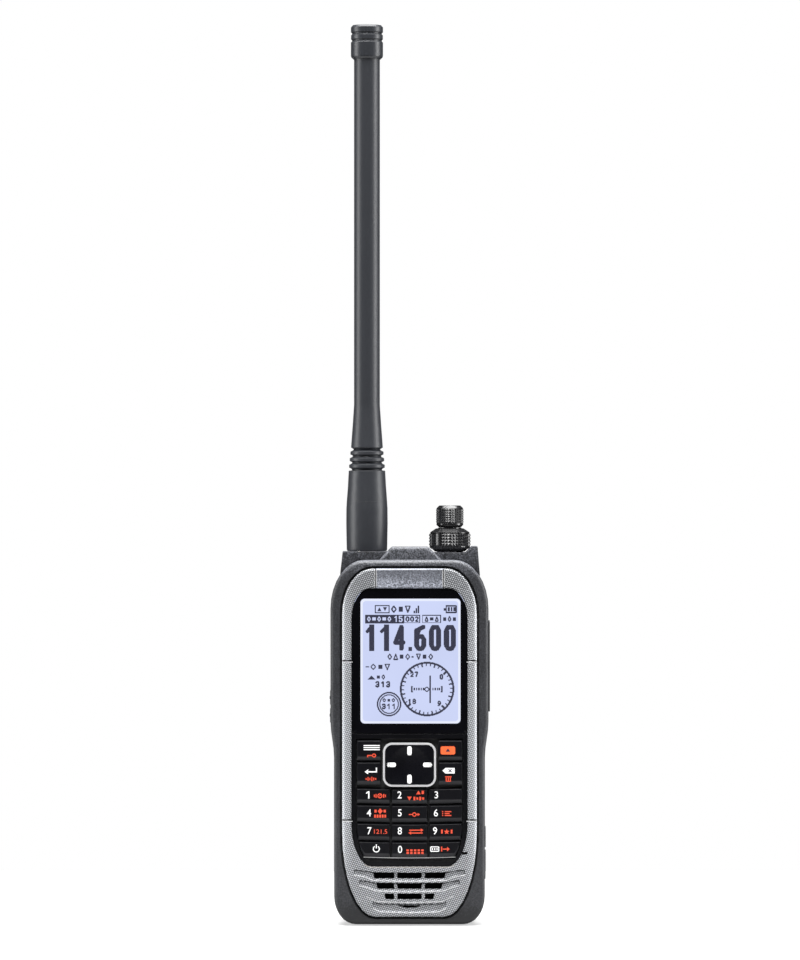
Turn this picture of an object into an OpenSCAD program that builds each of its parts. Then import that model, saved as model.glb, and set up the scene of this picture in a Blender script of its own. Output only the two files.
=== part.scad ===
// Handheld airband radio, as an assembly of separate pieces.
// Frame: X to the right as the user sees the face, -Y is the face, +Z is up the body.
// The origin lies on the flat base, in the middle of the width. All sizes are millimetres.

/* [Body] */
// Height of the front case above the base
body_h = 142.9; // [142.5:0.1:143]
// Half width of the front case at its shoulders
shoulder_half_w = 31; // [30.9:0.1:31.1]
// Half width of the front case at the grip
grip_half_w = 29.6; // [29.5:0.1:29.7]
// Distance of the case's face in front of the origin
face_y = 15; // [14.9:0.1:15.1]
// Radius of the case's front edge
edge_r = 1.7; // [1.4:0.1:1.8]
// Wall thickness of the front case
wall = 1.8; // [1.7:0.1:1.8]

/* [Face] */
// Half width of the bright bezel frame
bezel_half_w = 26.4; // [26.2:0.1:26.6]
// Height of the bezel frame's lower edge
bezel_bottom = 3; // [2.9:0.1:3.2]
// Height of the bezel frame's upper edge
bezel_top = 139.6; // [139.2:0.1:139.8]
// Dark gap around the bezel frame
bezel_gap = 0.9; // [0.7:0.1:1]
// Half width of the black panel inside the bezel
panel_half_w = 22.8; // [22.7:0.1:22.9]
// Width of the visible display
view_w = 39.4; // [38:0.1:40]
// Height of the visible display
view_h = 48.8; // [47:0.1:49]

/* [Keys] */
// Travel of each key
key_travel = 0.5; // [0.3:0.05:0.5]
// Gap between neighbouring keys
key_gap = 0.55; // [0.5:0.05:0.8]
// Width of the middle column, from gap to gap
column_w = 14.7; // [14.4:0.1:15]

/* [Top controls] */
// Distance of the control knobs right of the centre
knob_x = 16; // [15.9:0.1:16.1]
// Radius of the lower, volume knob
volume_r = 8.1; // [7.9:0.05:8.15]
// Radius of the upper, tuning knob
dial_r = 5.3; // [5:0.1:5.5]

/* [Antenna] */
// Distance of the antenna left of the centre
antenna_x = 16.8; // [16.7:0.1:16.9]
// Height of the antenna's tip above the base
antenna_top = 354.1; // [340:0.1:360]
// Radius of the antenna's rod
rod_r = 5.1; // [4.8:0.1:5.2]

/* [Battery] */
// Height of the battery pack
pack_h = 106.4; // [106:0.1:106.6]
// Half width of the battery pack
pack_half_w = 27.2; // [27:0.1:27.4]
// Distance of the pack's rear face behind the origin
pack_back = 15.8; // [15.6:0.1:16]

/* [Rear mount] */
// Spacing of the two threaded clip holes
clip_spacing = 15; // [14:0.5:16]
// Radius of the clip holes
clip_hole_r = 1.25; // [1.2:0.05:1.5]

/* [Hidden] */
$fn = 48;

// Planes across the depth, from the face to the back
face = -face_y;
pocket_floor = face + 1.5;
plate_back = face + 2.9;
parting = -2.5;
chassis_back = 0.5;
pack_front = 0.8;
pack_split = 8.3;
block_back = 15.5;

// Corner radii of the outlines, as [across, up]
case_top_corner = [13.3, 19.2];
case_foot_corner = [8.5, 11];
bezel_top_corner = [12, 18];
bezel_foot_corner = [12.8, 33];
panel_top_corner = [7.5, 12];
panel_foot_corner = [8, 17];
panel_bottom = 22.7;
panel_top = 131.8;
waist_top = 79.5;
waist_bottom = 65.5;

// Display
lens_bottom = 74.9;
view_z = 103.4;
lcd_w = view_w + 3.6;
lcd_h = view_h + 4.2;

// Keypad
key_inset = 2.1;
key_face = face - 1;
key_shoulder = face - 0.1;
key_back = face + 0.9;
stem_r = 1.2;
row_sag = 0.4;
mat_front = face + 1.55;
mat_back = face + 2.7;
board_front = face + 5.6;
key_stem_end = board_front - 0.4 - key_travel;
pad_z = 62.7;
pad_half = [10.4, 8.6];
pad_r = 3.6;
pad_pivot_y = face + 1.1;
pad_back = face + 0.3;

// Rows as [bottom, top]
row_a = [64.3, 72.3];
row_b = [54.8, 63.7];
row_1 = [47.7, 53.5];
row_2 = [40.5, 47.0];
row_3 = [33.3, 39.8];
row_4 = [26.7, 32.7];

// Top
floor_z = 145.6;
roof_z = 142;
axis_y = 3.5;
antenna_base = 146.2;
bushing_r = 3.9;

// Loudspeaker
speaker_z = 13.2;
slot_pitch = 4.1;

// Side controls
side_y = -7.9;
flap_t = 1.65;
flap_axis_y = -5.4;
knuckle_r = 0.8;
socket_y = -8.2;
jack_zs = [107, 95];
jack_bore_rs = [1.8, 1.3];
jack_cover_z = [83.3, 119];
usb_cover_z = [30, 38];
power_cover_z = [17.5, 28.7];
ptt_z = [93.2, 114.4];
ptt_y = [-11.4, -4.8];
side_key_y = [-10.2, -6.2];
side_key_upper_z = [86, 91.4];
side_key_lower_z = [79, 84.4];

// Screws, as [x, z]
screw_places = [[-24.4, 121], [24.4, 121], [-22.6, 8], [22.6, 8]];
clip_z = 126;

// ---------------------------------------------------------------- outlines

// Points on one elliptical corner, from angle a0 to a1
function corner(cx, cz, rx, rz, a0, a1, n = 8) =
    [for (i = [0:n]) let (a = a0 + (a1 - a0) * i / n) [cx + rx * cos(a), cz + rz * sin(a)]];

// A symmetric outline with elliptical corners, drawn inwards by d
function shield(hw, z0, z1, top, foot, d = 0, n = 8) = concat(
    corner(hw - foot.x, z0 + foot.y, foot.x - d, foot.y - d, 270, 360, n),
    corner(hw - top.x, z1 - top.y, top.x - d, top.y - d, 0, 90, n),
    corner(top.x - hw, z1 - top.y, top.x - d, top.y - d, 90, 180, n),
    corner(foot.x - hw, z0 + foot.y, foot.x - d, foot.y - d, 180, 270, n)
);

// Half width of the case across the waist, where the shoulders narrow into the grip
function waist(z, d) =
    grip_half_w - d + (shoulder_half_w - grip_half_w)
        * (0.5 - 0.5 * cos(180 * (z - waist_bottom) / (waist_top - waist_bottom)));
function waist_side(side, d, steps) =
    [for (i = steps) let (z = waist_bottom + (waist_top - waist_bottom) * i / 4) [side * waist(z, d), z]];

// Outline of the case, drawn inwards by d and raised at its base by foot
function case_outline(d, foot = 0) = let (
    top = case_top_corner,
    low = case_foot_corner,
    cx = shoulder_half_w - top.x,
    cz = body_h - top.y,
    fx = grip_half_w - low.x,
    fz = low.y + foot
) concat(
    corner(fx, fz, low.x - d, low.y - d, 270, 360),
    waist_side(1, d, [0:4]),
    corner(cx, cz, top.x - d, top.y - d, 0, 90),
    corner(-cx, cz, top.x - d, top.y - d, 90, 180),
    waist_side(-1, d, [4:-1:0]),
    corner(-fx, fz, low.x - d, low.y - d, 180, 270)
);
function bezel_outline(d) =
    shield(bezel_half_w, bezel_bottom, bezel_top, bezel_top_corner, bezel_foot_corner, d);
function panel_outline(d) =
    shield(panel_half_w, panel_bottom, panel_top, panel_top_corner, panel_foot_corner, d);
function pack_outline(d) = shield(pack_half_w, 0, pack_h, [3, 3], [6.5, 6.5], d, 6);

// Outline of the raised hump between the antenna and the knobs, drawn inwards by d
function hump_outline(d) = [
    [12.9 - d, 142.5], [12.3 - d, 143.3], [7.8 - d, 147.6 - d], [7 - d, 148.1 - d],
    [-6.8 + d, 148.1 - d], [-7.5 + d, 147.6 - d], [-11.5 + d, 143.3], [-12 + d, 142.5]
];

// Outline of the chassis's top block, drawn inwards by d
function block_outline(d) = [
    [27.8 - d, 107.2 + d], [27.7 - d, 137], [26.8 - d, 148 - d], [24.7 + d / 2, 148 - d],
    [22.3, floor_z], [7.4, floor_z], [6 - d, 147.6 - d], [-6.4 + d, 147.6 - d], [-7.8, 146],
    [-26.3 + d, 146 - d / 2], [-27.3 + d, 137], [-27.4 + d, 107.2 + d]
];

// Sections of a solid whose edge at y0 is rounded by r towards y1, as [y, inset]
function rounded(y0, y1, r, n = 4) = concat(
    [for (i = [0:n]) let (t = 90 * i / n) [y0 + sign(y1 - y0) * r * (1 - cos(t)), r * (1 - sin(t))]],
    [[y1, 0]]
);

// Half width of the keys' area at height z
function key_edge(z) = let (
    c = panel_foot_corner,
    low = panel_bottom + c.y,
    s = max(0, low - z) / (c.y - key_inset)
) panel_half_w - c.x + (c.x - key_inset) * sqrt(1 - s * s);

// The rows hang a little lower in the middle
function sag(p) = [p.x, p.y - row_sag * (1 - pow(p.x / panel_half_w, 2))];

// Outline of a key in column -1, 0 or 1, between the heights row[0] and row[1]
function key_outline(column, row) = let (
    inner = (column_w + key_gap) / 2,
    middle = (column_w - key_gap) / 2,
    n = row[0] < panel_bottom + panel_foot_corner.y ? 4 : 1,
    side = [for (i = [0:n]) row[0] + (row[1] - row[0]) * i / n]
) [for (p =
    column == 0
        ? [[-middle, row[0]], [middle, row[0]], [middle, row[1]], [-middle, row[1]]]
    : column > 0
        ? concat([for (z = side) [key_edge(z), z]], [[inner, row[1]], [inner, row[0]]])
        : concat([for (i = [n:-1:0]) [-key_edge(side[i]), side[i]]], [[-inner, row[0]], [-inner, row[1]]])
) sag(p)];

// Outline of a key beside the direction pad; its corner nearest row_1 follows the pad when cut is more than 0
function pad_side_outline(side, row, cut) = let (
    outer = panel_half_w - key_inset,
    inner = pad_half.x + 0.8,
    right = [
        [inner - cut, row[0]], [outer, row[0]], [outer, row[1]], [inner, row[1]], [inner, row[0] + 2.2 * cut]
    ]
) side > 0 ? right : [for (i = [4:-1:0]) [-right[i].x, right[i].y]];

// Draws an outline in from its box by [left, right, bottom, top]
function squeeze(pts, m) = let (
    xs = [for (p = pts) p.x],
    zs = [for (p = pts) p.y],
    x0 = min(xs), x1 = max(xs), z0 = min(zs), z1 = max(zs),
    kx = (x1 - x0 - m[0] - m[1]) / (x1 - x0),
    kz = (z1 - z0 - m[2] - m[3]) / (z1 - z0)
) [for (p = pts) [x0 + m[0] + (p.x - x0) * kx, z0 + m[2] + (p.y - z0) * kz]];

// ---------------------------------------------------------------- shared shapes

// Extrudes a shape drawn in X and Z from y0 back to y1
module prism(y0, y1) {
    translate([0, y1, 0]) rotate([90, 0, 0]) linear_extrude(y1 - y0) children();
}

// Round bar along Y
module bar_y(x, z, r, y0, y1) {
    translate([x, y1, z]) rotate([90, 0, 0]) cylinder(r = r, h = y1 - y0);
}

// Round bar along X
module bar_x(y, z, r, x0, x1) {
    translate([x0, y, z]) rotate([0, 90, 0]) cylinder(r = r, h = x1 - x0);
}

// Box from its low to its high corner
module block(low, high) {
    translate(low) cube(high - low);
}

// Flat shape with round corners, centred on [x, z]
module round_rect(x, z, hw, hh, r) {
    translate([x, z]) {
        square([2 * hw, 2 * (hh - r)], center = true);
        square([2 * (hw - r), 2 * hh], center = true);
        for (sx = [-1, 1], sz = [-1, 1])
            translate([sx * (hw - r), sz * (hh - r)]) circle(r = r);
    }
}

// Solid through sections of equal point count, each [y, points], ordered from the face to the back
module loft(sections) {
    count = len(sections[0][1]);
    last = len(sections) - 1;
    points = [for (s = sections) for (p = s[1]) [p.x, s[0], p.y]];
    front = [[for (j = [count - 1:-1:0]) j]];
    back = [[for (j = [0:count - 1]) last * count + j]];
    sides = [
        for (i = [0:last - 1]) for (j = [0:count - 1])
            let (k = (j + 1) % count, a = i * count, b = a + count)
            for (f = [[a + j, a + k, b + k], [a + j, b + k, b + j]]) f
    ];
    polyhedron(points = points, faces = concat(front, sides, back), convexity = 10);
}

// The same, with its two ends trimmed flat in one piece
module trimmed_loft(sections) {
    first = sections[0];
    end = sections[len(sections) - 1];
    intersection() {
        loft(concat([[first[0] - 1, first[1]]], sections, [[end[0] + 1, end[1]]]));
        block([-60, first[0], -10], [60, end[0], 170]);
    }
}

// ---------------------------------------------------------------- front case

module flap_recess(z, x) {
    block([x, flap_axis_y - 6, z[0] - 0.2], [x + 5, flap_axis_y + knuckle_r + 0.25, z[1] + 0.2]);
}

module front_case() color([0.2, 0.2, 0.21]) difference() {
    union() {
        difference() {
            trimmed_loft([for (s = rounded(face, parting, edge_r)) [s[0], case_outline(s[1])]]);
            prism(plate_back, parting + 1) polygon(case_outline(wall));
        }
        for (p = screw_places) bar_y(p.x, p.y, 2.3, plate_back - 0.2, parting);
        loft([for (s = rounded(face + 2.5, face + 5.9, 1.2, 3)) [s[0], hump_outline(s[1])]]);
    }
    // Pocket that seats the bezel frame, with the dark gap around it
    prism(face - 1, pocket_floor) polygon(bezel_outline(-bezel_gap));
    // Display window
    prism(face - 1, plate_back + 1) translate([0, view_z]) square([lcd_w + 0.6, lcd_h + 0.6], center = true);
    // Keypad window
    prism(face - 1, plate_back + 1) intersection() {
        polygon(panel_outline(1.3));
        translate([-50, 0]) square([100, 73.5]);
    }
    // Loudspeaker opening, and the shallow seat of its mesh
    prism(face - 1, plate_back + 1) round_rect(0, speaker_z + 0.4, 15, 7.4, 2);
    prism(face - 1, pocket_floor + 0.35) round_rect(0, speaker_z + 0.4, 15.6, 8, 2);
    bar_y(21.7, 28, 0.5, face - 1, plate_back + 1);
    for (p = screw_places) bar_y(p.x, p.y, 1.05, plate_back + 2, parting + 1);
    // Left side: talk switch and the two side keys
    block([-40, ptt_y[0] - 0.25, ptt_z[0] - 0.25], [-28, ptt_y[1] + 0.25, ptt_z[1] + 0.25]);
    for (z = [side_key_upper_z, side_key_lower_z])
        block([-40, side_key_y[0] - 0.2, z[0] - 0.2], [-28, side_key_y[1] + 0.2, z[1] + 0.2]);
    // Right side: accessory jacks above, power and data sockets below
    flap_recess(jack_cover_z, 29.8);
    flap_recess(usb_cover_z, 28.3);
    flap_recess(power_cover_z, 28.3);
    block([26, -10.1, 88], [40, -6.3, 114]);
    block([26, -9.6, 30.6], [40, -6.4, 37.4]);
    block([26, -10.1, 20.6], [40, -6.1, 25.6]);
}

module bezel_half(side) {
    // Decorative seams across the bright band
    for (z = [103.4, 41]) {
        block([side > 0 ? 22 : -30, face - 2, z - 0.28], [side > 0 ? 30 : -22, face - 0.3, z + 0.28]);
    }
}

// Outline of one stepped groove of the grille, row 0 at the top; lip lowers its lower edge
function groove_outline(row, lip) = let (
    half = 21.7 - 0.9 * row - 0.15 * row * row,
    z = -slot_pitch * row,
    right = [
        [0, 17.5 - lip], [14.3, 17.9 - lip], [17.6, 19.3 - lip], [half, 20 - lip],
        [half, 21.6], [17, 21.1], [14.3, 20.6], [0, 20.4]
    ],
    scaled = [for (p = right) [p.x * half / 21.7, p.y + z]],
    left = [for (i = [6:-1:1]) [-scaled[i].x, scaled[i].y]]
) concat(scaled, left);

// The groove is upright above and slopes out over its lower lip
module grille_groove(row) {
    loft([[face - 1.3, groove_outline(row, 0.75)], [face - 0.35, groove_outline(row, 0)]]);
}

// The three openings in one row of the grille
module grille_slots(row) {
    z0 = 18.1 - slot_pitch * row;
    z1 = 20.4 - slot_pitch * row;
    reach = [14.3, 13.1, 9.9][row];
    for (s = [-1, 1])
        polygon([[s * 5.9, z0], [s * (reach - 0.6), z0], [s * reach, z1], [s * 6.1, z1]]);
    polygon([[-4.7, z0], [4.7, z0], [4.9, z1], [-4.9, z1]]);
}

module bezel_frame() color([0.66, 0.68, 0.7]) difference() {
    loft([for (s = concat(rounded(face - 1, pocket_floor, 1, 3))) [s[0], bezel_outline(s[1])]]);
    prism(face - 2, pocket_floor + 1) polygon(panel_outline(0));
    prism(face - 2, face - 0.5) polygon(panel_outline(-0.4));
    // Seat of the nameplate between the two arms
    block([-13.35, face - 3, panel_top - 4], [13.35, pocket_floor + 1, bezel_top + 2]);
    bezel_half(-1);
    bezel_half(1);
    for (row = [0:3]) grille_groove(row);
    for (row = [0:2]) prism(face - 3, pocket_floor + 1) grille_slots(row);
    // Crescent in the last row
    prism(face - 3, pocket_floor + 1) intersection() {
        translate([0, 17.9]) circle(r = 11.4);
        translate([-4.3, 6]) square([8.6, 1.6]);
    }
    // Microphone hole
    prism(face - 3, pocket_floor + 1) round_rect(21.7, 28, 1.05, 0.42, 0.4);
}

module nameplate() color([0.36, 0.37, 0.39]) difference() {
    loft([for (s = rounded(face - 1, pocket_floor, 0.9, 3)) [s[0], bezel_outline(s[1])]]);
    prism(face - 2, pocket_floor + 1) polygon(panel_outline(0));
    prism(face - 2, face - 0.5) polygon(panel_outline(-0.4));
    block([-50, face - 3, -5], [50, pocket_floor + 1, panel_top - 3]);
    for (s = [-1, 1])
        block([min(13.15 * s, 50 * s), face - 3, 100], [max(13.15 * s, 50 * s), pocket_floor + 1, 150]);
}

module window_lens() color([0.05, 0.05, 0.06, 0.5]) prism(face - 0.3, pocket_floor) intersection() {
    polygon(panel_outline(0.15));
    translate([-50, lens_bottom]) square([100, 100]);
}

module keypad_frame() color([0.06, 0.06, 0.07]) difference() {
    prism(face - 0.25, pocket_floor) intersection() {
        polygon(panel_outline(0.15));
        translate([-50, 0]) square([100, lens_bottom - 0.25]);
    }
    prism(face - 2, pocket_floor + 1) difference() {
        polygon(panel_outline(key_inset - 0.35));
        translate([-50, 72.9]) square([100, 100]);
        translate([-50, 0]) square([100, 25.8]);
    }
    // Step above the bottom strip
    block([-16.5, face - 1, 25.1], [16.5, face + 0.15, 25.5]);
}

module keypad_mat() color([0.12, 0.12, 0.13]) difference() {
    prism(mat_front, mat_back) intersection() {
        polygon(panel_outline(1.5));
        translate([-50, 0]) square([100, 73.3]);
    }
    for (p = stem_places) bar_y(p.x, p.y, stem_r + 0.4, mat_front - 1, mat_back + 1);
    bar_y(0, pad_z, 2, mat_front - 1, mat_back + 1);
}

module lcd_panel() color([0.79, 0.83, 0.95])
    prism(pocket_floor + 0.1, plate_back + 0.1)
        translate([0, view_z]) square([lcd_w, lcd_h], center = true);

module backlight() color([0.93, 0.93, 0.9]) {
    prism(plate_back + 0.2, plate_back + 1.3)
        translate([0, view_z]) square([lcd_w - 0.4, lcd_h], center = true);
    // Three light-emitting diodes along the guide's lower edge
    for (x = [-12, 0, 12]) block([x - 1.5, plate_back + 0.9, 75], [x + 1.5, board_front - 0.1, 76.8]);
}

// ---------------------------------------------------------------- keys

key_cells = [
    ["key_menu", pad_side_outline(-1, row_a, 0)],
    ["key_function", pad_side_outline(1, row_a, 0)],
    ["key_enter", pad_side_outline(-1, row_b, 0)],
    ["key_clear", pad_side_outline(1, row_b, 0)],
    ["key_1", key_outline(-1, row_1)],
    ["key_2", key_outline(0, row_1)],
    ["key_3", key_outline(1, row_1)],
    ["key_4", key_outline(-1, row_2)],
    ["key_5", key_outline(0, row_2)],
    ["key_6", key_outline(1, row_2)],
    ["key_7", key_outline(-1, row_3)],
    ["key_8", key_outline(0, row_3)],
    ["key_9", key_outline(1, row_3)],
    ["key_power", key_outline(-1, row_4)],
    ["key_0", key_outline(0, row_4)],
    ["key_memory", key_outline(1, row_4)]
];

// Middle of an outline's box
function middle(pts) = let (xs = [for (p = pts) p.x], zs = [for (p = pts) p.y])
    [(min(xs) + max(xs)) / 2, (min(zs) + max(zs)) / 2];
stem_places = [for (c = key_cells) middle(c[1])];

// Key cap with a flat top, a broad sloping lower facet and a stem down to its dome
module key(outline) color([0.09, 0.09, 0.1]) {
    m = middle(outline);
    loft([
        [key_face, squeeze(outline, [0.5, 0.5, 1.5, 0.35])],
        [key_shoulder, outline],
        [key_back, outline]
    ]);
    bar_y(m.x, m.y, stem_r, key_back - 0.1, key_stem_end);
}

module pad_cap() color([0.08, 0.08, 0.09]) difference() {
    union() {
        prism(face - 0.5, pad_back) round_rect(0, pad_z, pad_half.x - 0.1, pad_half.y - 0.1, pad_r);
        prism(face - 1.6, face - 0.5) round_rect(0, pad_z, pad_half.x - 0.85, pad_half.y - 0.85, pad_r - 0.7);
    }
    translate([0, pad_pivot_y, pad_z]) sphere(r = 1.56);
    // Shallow dish under the thumb
    translate([0, face - 1.6 - 59.5, pad_z]) sphere(r = 60, $fn = 180);
}

module pad_ring() color([0.75, 0.76, 0.78]) prism(face - 1.5, face - 0.5) difference() {
    round_rect(0, pad_z, pad_half.x, pad_half.y, pad_r);
    round_rect(0, pad_z, pad_half.x - 0.8, pad_half.y - 0.8, pad_r - 0.7);
}

module pad_pivot() color([0.5, 0.5, 0.52]) {
    translate([0, pad_pivot_y, pad_z]) sphere(r = 1.5);
    bar_y(0, pad_z, 0.8, pad_pivot_y, pad_pivot_y + 3);
}

// ---------------------------------------------------------------- inside

module logic_board() color([0.05, 0.32, 0.18]) {
    difference() {
        prism(board_front, board_front + 1) translate([-22, 25.5]) square([44, 110.5]);
        block([14.4, board_front - 1, 86.5], [30, board_front + 2, 115.5]);
        // Notches for the charging and data sockets
        block([17.6, board_front - 1, 25], [30, board_front + 2, 28]);
        block([21.2, board_front - 1, 30.3], [30, board_front + 2, 37.7]);
    }
    // Domes under the keys and the four sides of the pad
    for (p = stem_places) bar_y(p.x, p.y, 2, board_front - 0.35, board_front + 0.1);
    for (a = [0:90:270])
        bar_y(7 * cos(a), pad_z + 5.5 * sin(a), 1.6, board_front - 0.35, board_front + 0.1);
    // Processor and its neighbours
    block([-9, board_front + 0.9, 96], [5, board_front + 2.1, 110]);
    block([-16, board_front + 0.9, 60], [-6, board_front + 1.9, 68]);
}

module rf_board() color([0.06, 0.3, 0.2]) {
    difference() {
        prism(-5.6, -4.6) translate([-21.5, 29]) square([43, 106]);
        block([14.4, -7, 86.5], [30, -4, 115.5]);
    }
    // Shield cans on the board's rear face
    block([-19, -4.6, 70], [-10, -2.7, 104]);
    block([10, -4.6, 34], [19, -2.7, 58]);
}

module speaker_basket() color([0.42, 0.43, 0.45]) translate([0, 0, speaker_z])
    rotate([90, 0, 0]) rotate_extrude() polygon([
        [0, 4.9], [6.2, 4.9], [6.2, 8.2], [9.2, 8.6], [10.6, 10.6],
        [10.6, 12], [9.6, 12], [9.4, 10.9], [6.2, 9.1], [0, 9.1]
    ]);

module speaker_cone() color([0.1, 0.1, 0.11]) translate([0, 0, speaker_z])
    rotate([90, 0, 0]) rotate_extrude() polygon([
        [0, 10.8], [2.6, 10.2], [4.4, 9.6], [8.9, 11], [9.3, 11.1],
        [9.3, 11.5], [8.6, 11.4], [4.4, 10], [2.6, 10.6], [0, 11.2]
    ]);

module grille_mesh() color([0.03, 0.03, 0.03])
    prism(pocket_floor + 0.03, pocket_floor + 0.32) round_rect(0, speaker_z + 0.4, 15.4, 7.8, 2);

module microphone() color([0.55, 0.56, 0.58]) {
    bar_y(21.7, 28, 1.9, plate_back + 0.3, plate_back + 1.3);
    // Rubber boot around the capsule
    difference() {
        bar_y(21.7, 28, 2.6, plate_back + 0.1, plate_back + 1.4);
        bar_y(21.7, 28, 1.9, plate_back + 0.05, plate_back + 3);
    }
}

module main_seal() color([0.65, 0.25, 0.2]) prism(parting - 1.9, parting - 1) difference() {
    polygon(case_outline(wall + 0.1));
    polygon(case_outline(wall + 1));
}

module side_switches() color([0.1, 0.35, 0.2]) {
    block([-26.2, -10.4, 77], [-25.2, -5.6, 117]);
    for (z = [middle_of(ptt_z), middle_of(side_key_upper_z), middle_of(side_key_lower_z)])
        bar_x(side_y, z, 1.5, -27.2, -26);
}
function middle_of(span) = (span[0] + span[1]) / 2;

// Two jacks along X for the accessory plug, one above the other
module jack_block() color([0.08, 0.08, 0.09]) for (i = [0, 1]) difference() {
    block([15, -10.6, [100.8, 88][i]], [29.1, -5, [114, 100.4][i]]);
    bar_x(socket_y, jack_zs[i], jack_bore_rs[i], 16.5, 40);
}

module power_sockets() color([0.1, 0.1, 0.11]) {
    // Round charging socket with its pin
    difference() {
        block([18, -10.6, 18.6], [27.5, -5.4, 27.6]);
        bar_x(socket_y, 23.1, 1.9, 19, 30);
    }
    bar_x(socket_y, 23.1, 0.65, 18.9, 26.6);
    // Data socket
    difference() {
        block([21.5, -9.5, 30.7], [27.5, -6.5, 37.3]);
        block([22.5, -9.1, 31.2], [30, -6.9, 36.8]);
    }
    block([22.4, -8.3, 31.9], [27, -7.7, 36.1]);
}

module terminal_block() color([0.75, 0.62, 0.25]) {
    block([-9, -4.4, 60], [9, 0.4, 66]);
    for (x = [-6, 0, 6]) bar_y(x, 63, 1, 0.3, pack_front - 0.05);
}

// ---------------------------------------------------------------- chassis

module rear_chassis() color([0.17, 0.17, 0.18]) difference() {
    union() {
        difference() {
            union() {
                // Back plate, which reaches down to the base
                prism(parting, chassis_back) polygon(case_outline(0.3, -0.3));
                // Top block that carries the antenna socket and the controls
                trimmed_loft([for (s = [[parting + 0.7, 0], [14, 0], [15.1, 0.45], [block_back, 1.3]])
                    [s[0], block_outline(s[1])]]);
            }
            block([-24.6, parting - 1, 110], [24.6, 13.3, roof_z]);
        }
        // Tongue that carries the seal
        prism(parting - 1.9, parting + 0.2) difference() {
            polygon(case_outline(wall + 1.1));
            polygon(case_outline(wall + 2.1));
        }
        // Ledge over the front case, which follows its rounded top corners
        prism(-9, parting + 1.2) difference() {
            polygon(block_outline(0));
            polygon(case_outline(-0.2));
            translate([-50, 0]) square([100, 128]);
        }
        // Tubes for the upper screws, and bosses for the clip's screws
        for (s = [-1, 1]) bar_y(s * 24.4, 121, 3.1, parting + 0.2, 14.5);
        for (s = [-1, 1]) bar_y(s * clip_spacing / 2, clip_z, 3, 9, 14.5);
    }
    for (p = screw_places) {
        bar_y(p.x, p.y, 1.15, parting - 3, 3);
        bar_y(p.x, p.y, 2.2, -0.9, 20);
    }
    for (s = [-1, 1]) bar_y(s * clip_spacing / 2, clip_z, clip_hole_r, 10, 20);
    translate([-antenna_x, axis_y, 140]) cylinder(r = 4.8, h = 10);
    translate([knob_x, axis_y, 140]) cylinder(r = bushing_r + 0.1, h = 10);
    // Window for the battery terminals, and slots for the pack's locating tongues
    block([-9.2, parting - 1, 59.8], [9.2, 3, 66.2]);
    for (s = [-1, 1], z = [12, 98])
        block([s * 20 - 2.8, parting + 0.8, z - 1.3], [s * 20 + 2.8, 3, z + 1.3]);
    // Notch for the latch's nose
    block([-6.3, -1.2, 1.6], [6.3, 3, 5.2]);
}

module case_screws() color([0.5, 0.5, 0.52]) for (p = screw_places) difference() {
    union() {
        bar_y(p.x, p.y, 1, -9, -0.5);
        bar_y(p.x, p.y, 2, -0.8, 0.4);
    }
    // Cross recess
    for (a = [0, 90])
        translate([p.x, 0, p.y]) rotate([0, a, 0]) block([-1.1, -0.2, -0.2], [1.1, 1, 0.2]);
}

// ---------------------------------------------------------------- top controls

module antenna_socket() color([0.72, 0.72, 0.7]) translate([-antenna_x, axis_y, 0]) {
    rotate_extrude() polygon([
        [0, 139.5], [1.2, 139.5], [1.2, 141.2], [5.7, 141.2], [5.7, roof_z], [4.7, roof_z],
        [4.7, 156.5], [4.1, 156.5], [4.1, 148.2], [2.6, 148.2], [2.6, 155.5],
        [0.8, 155.5], [0.8, 149], [0, 149]
    ]);
    for (s = [-1, 1]) bar_x(0, 152, 1, min(s * 4.5, s * 5.5), max(s * 4.5, s * 5.5));
}

module control_unit() color([0.6, 0.6, 0.62]) translate([knob_x, axis_y, 0]) {
    difference() {
        union() {
            block([-6, -5.8, 131], [6, 5.8, 140.4]);
            translate([0, 0, 140.3]) cylinder(r = bushing_r, h = 7.2);
        }
        translate([0, 0, 135.5]) cylinder(r = 3.06, h = 20);
    }
    // Nut on top of the chassis
    difference() {
        translate([0, 0, floor_z + 0.02]) cylinder(r = 5.2, h = 1.4, $fn = 6);
        translate([0, 0, floor_z - 1]) cylinder(r = bushing_r + 0.02, h = 4);
    }
}

module volume_shaft() color([0.7, 0.7, 0.68]) translate([knob_x, axis_y, 0])
    rotate_extrude() polygon([[2.06, 136], [3, 136], [3, 154], [2.06, 154]]);

module dial_shaft() color([0.7, 0.7, 0.68]) translate([knob_x, axis_y, 136]) cylinder(r = 2, h = 26);

module volume_knob() color([0.08, 0.08, 0.09]) translate([knob_x, axis_y, 0]) union() {
    rotate_extrude() polygon([
        [5.7, 145.95], [6.3, 145.95], [volume_r, 147.9], [volume_r, 153.4], [5.5, 155.1],
        [3.02, 155.1], [3.02, 148.2], [5.7, 148.2]
    ]);
    // Pointer rib, which faces left of the front at the lowest volume
    rotate([0, 0, -37]) block([-0.5, -volume_r - 0.3, 149.2], [0.5, -volume_r + 1, 153.4]);
}

module dial_knob() color([0.08, 0.08, 0.09]) translate([knob_x, axis_y, 0]) difference() {
    rotate_extrude() polygon([
        [0, 155.5], [4.3, 155.5], [dial_r - 0.1, 156.2], [dial_r - 0.1, 157.5],
        [dial_r, 157.7], [dial_r, 162.9], [4.2, 164.2], [0, 164.2]
    ]);
    translate([0, 0, 155]) cylinder(r = 2.02, h = 7.1);
}

// ---------------------------------------------------------------- antenna

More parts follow.
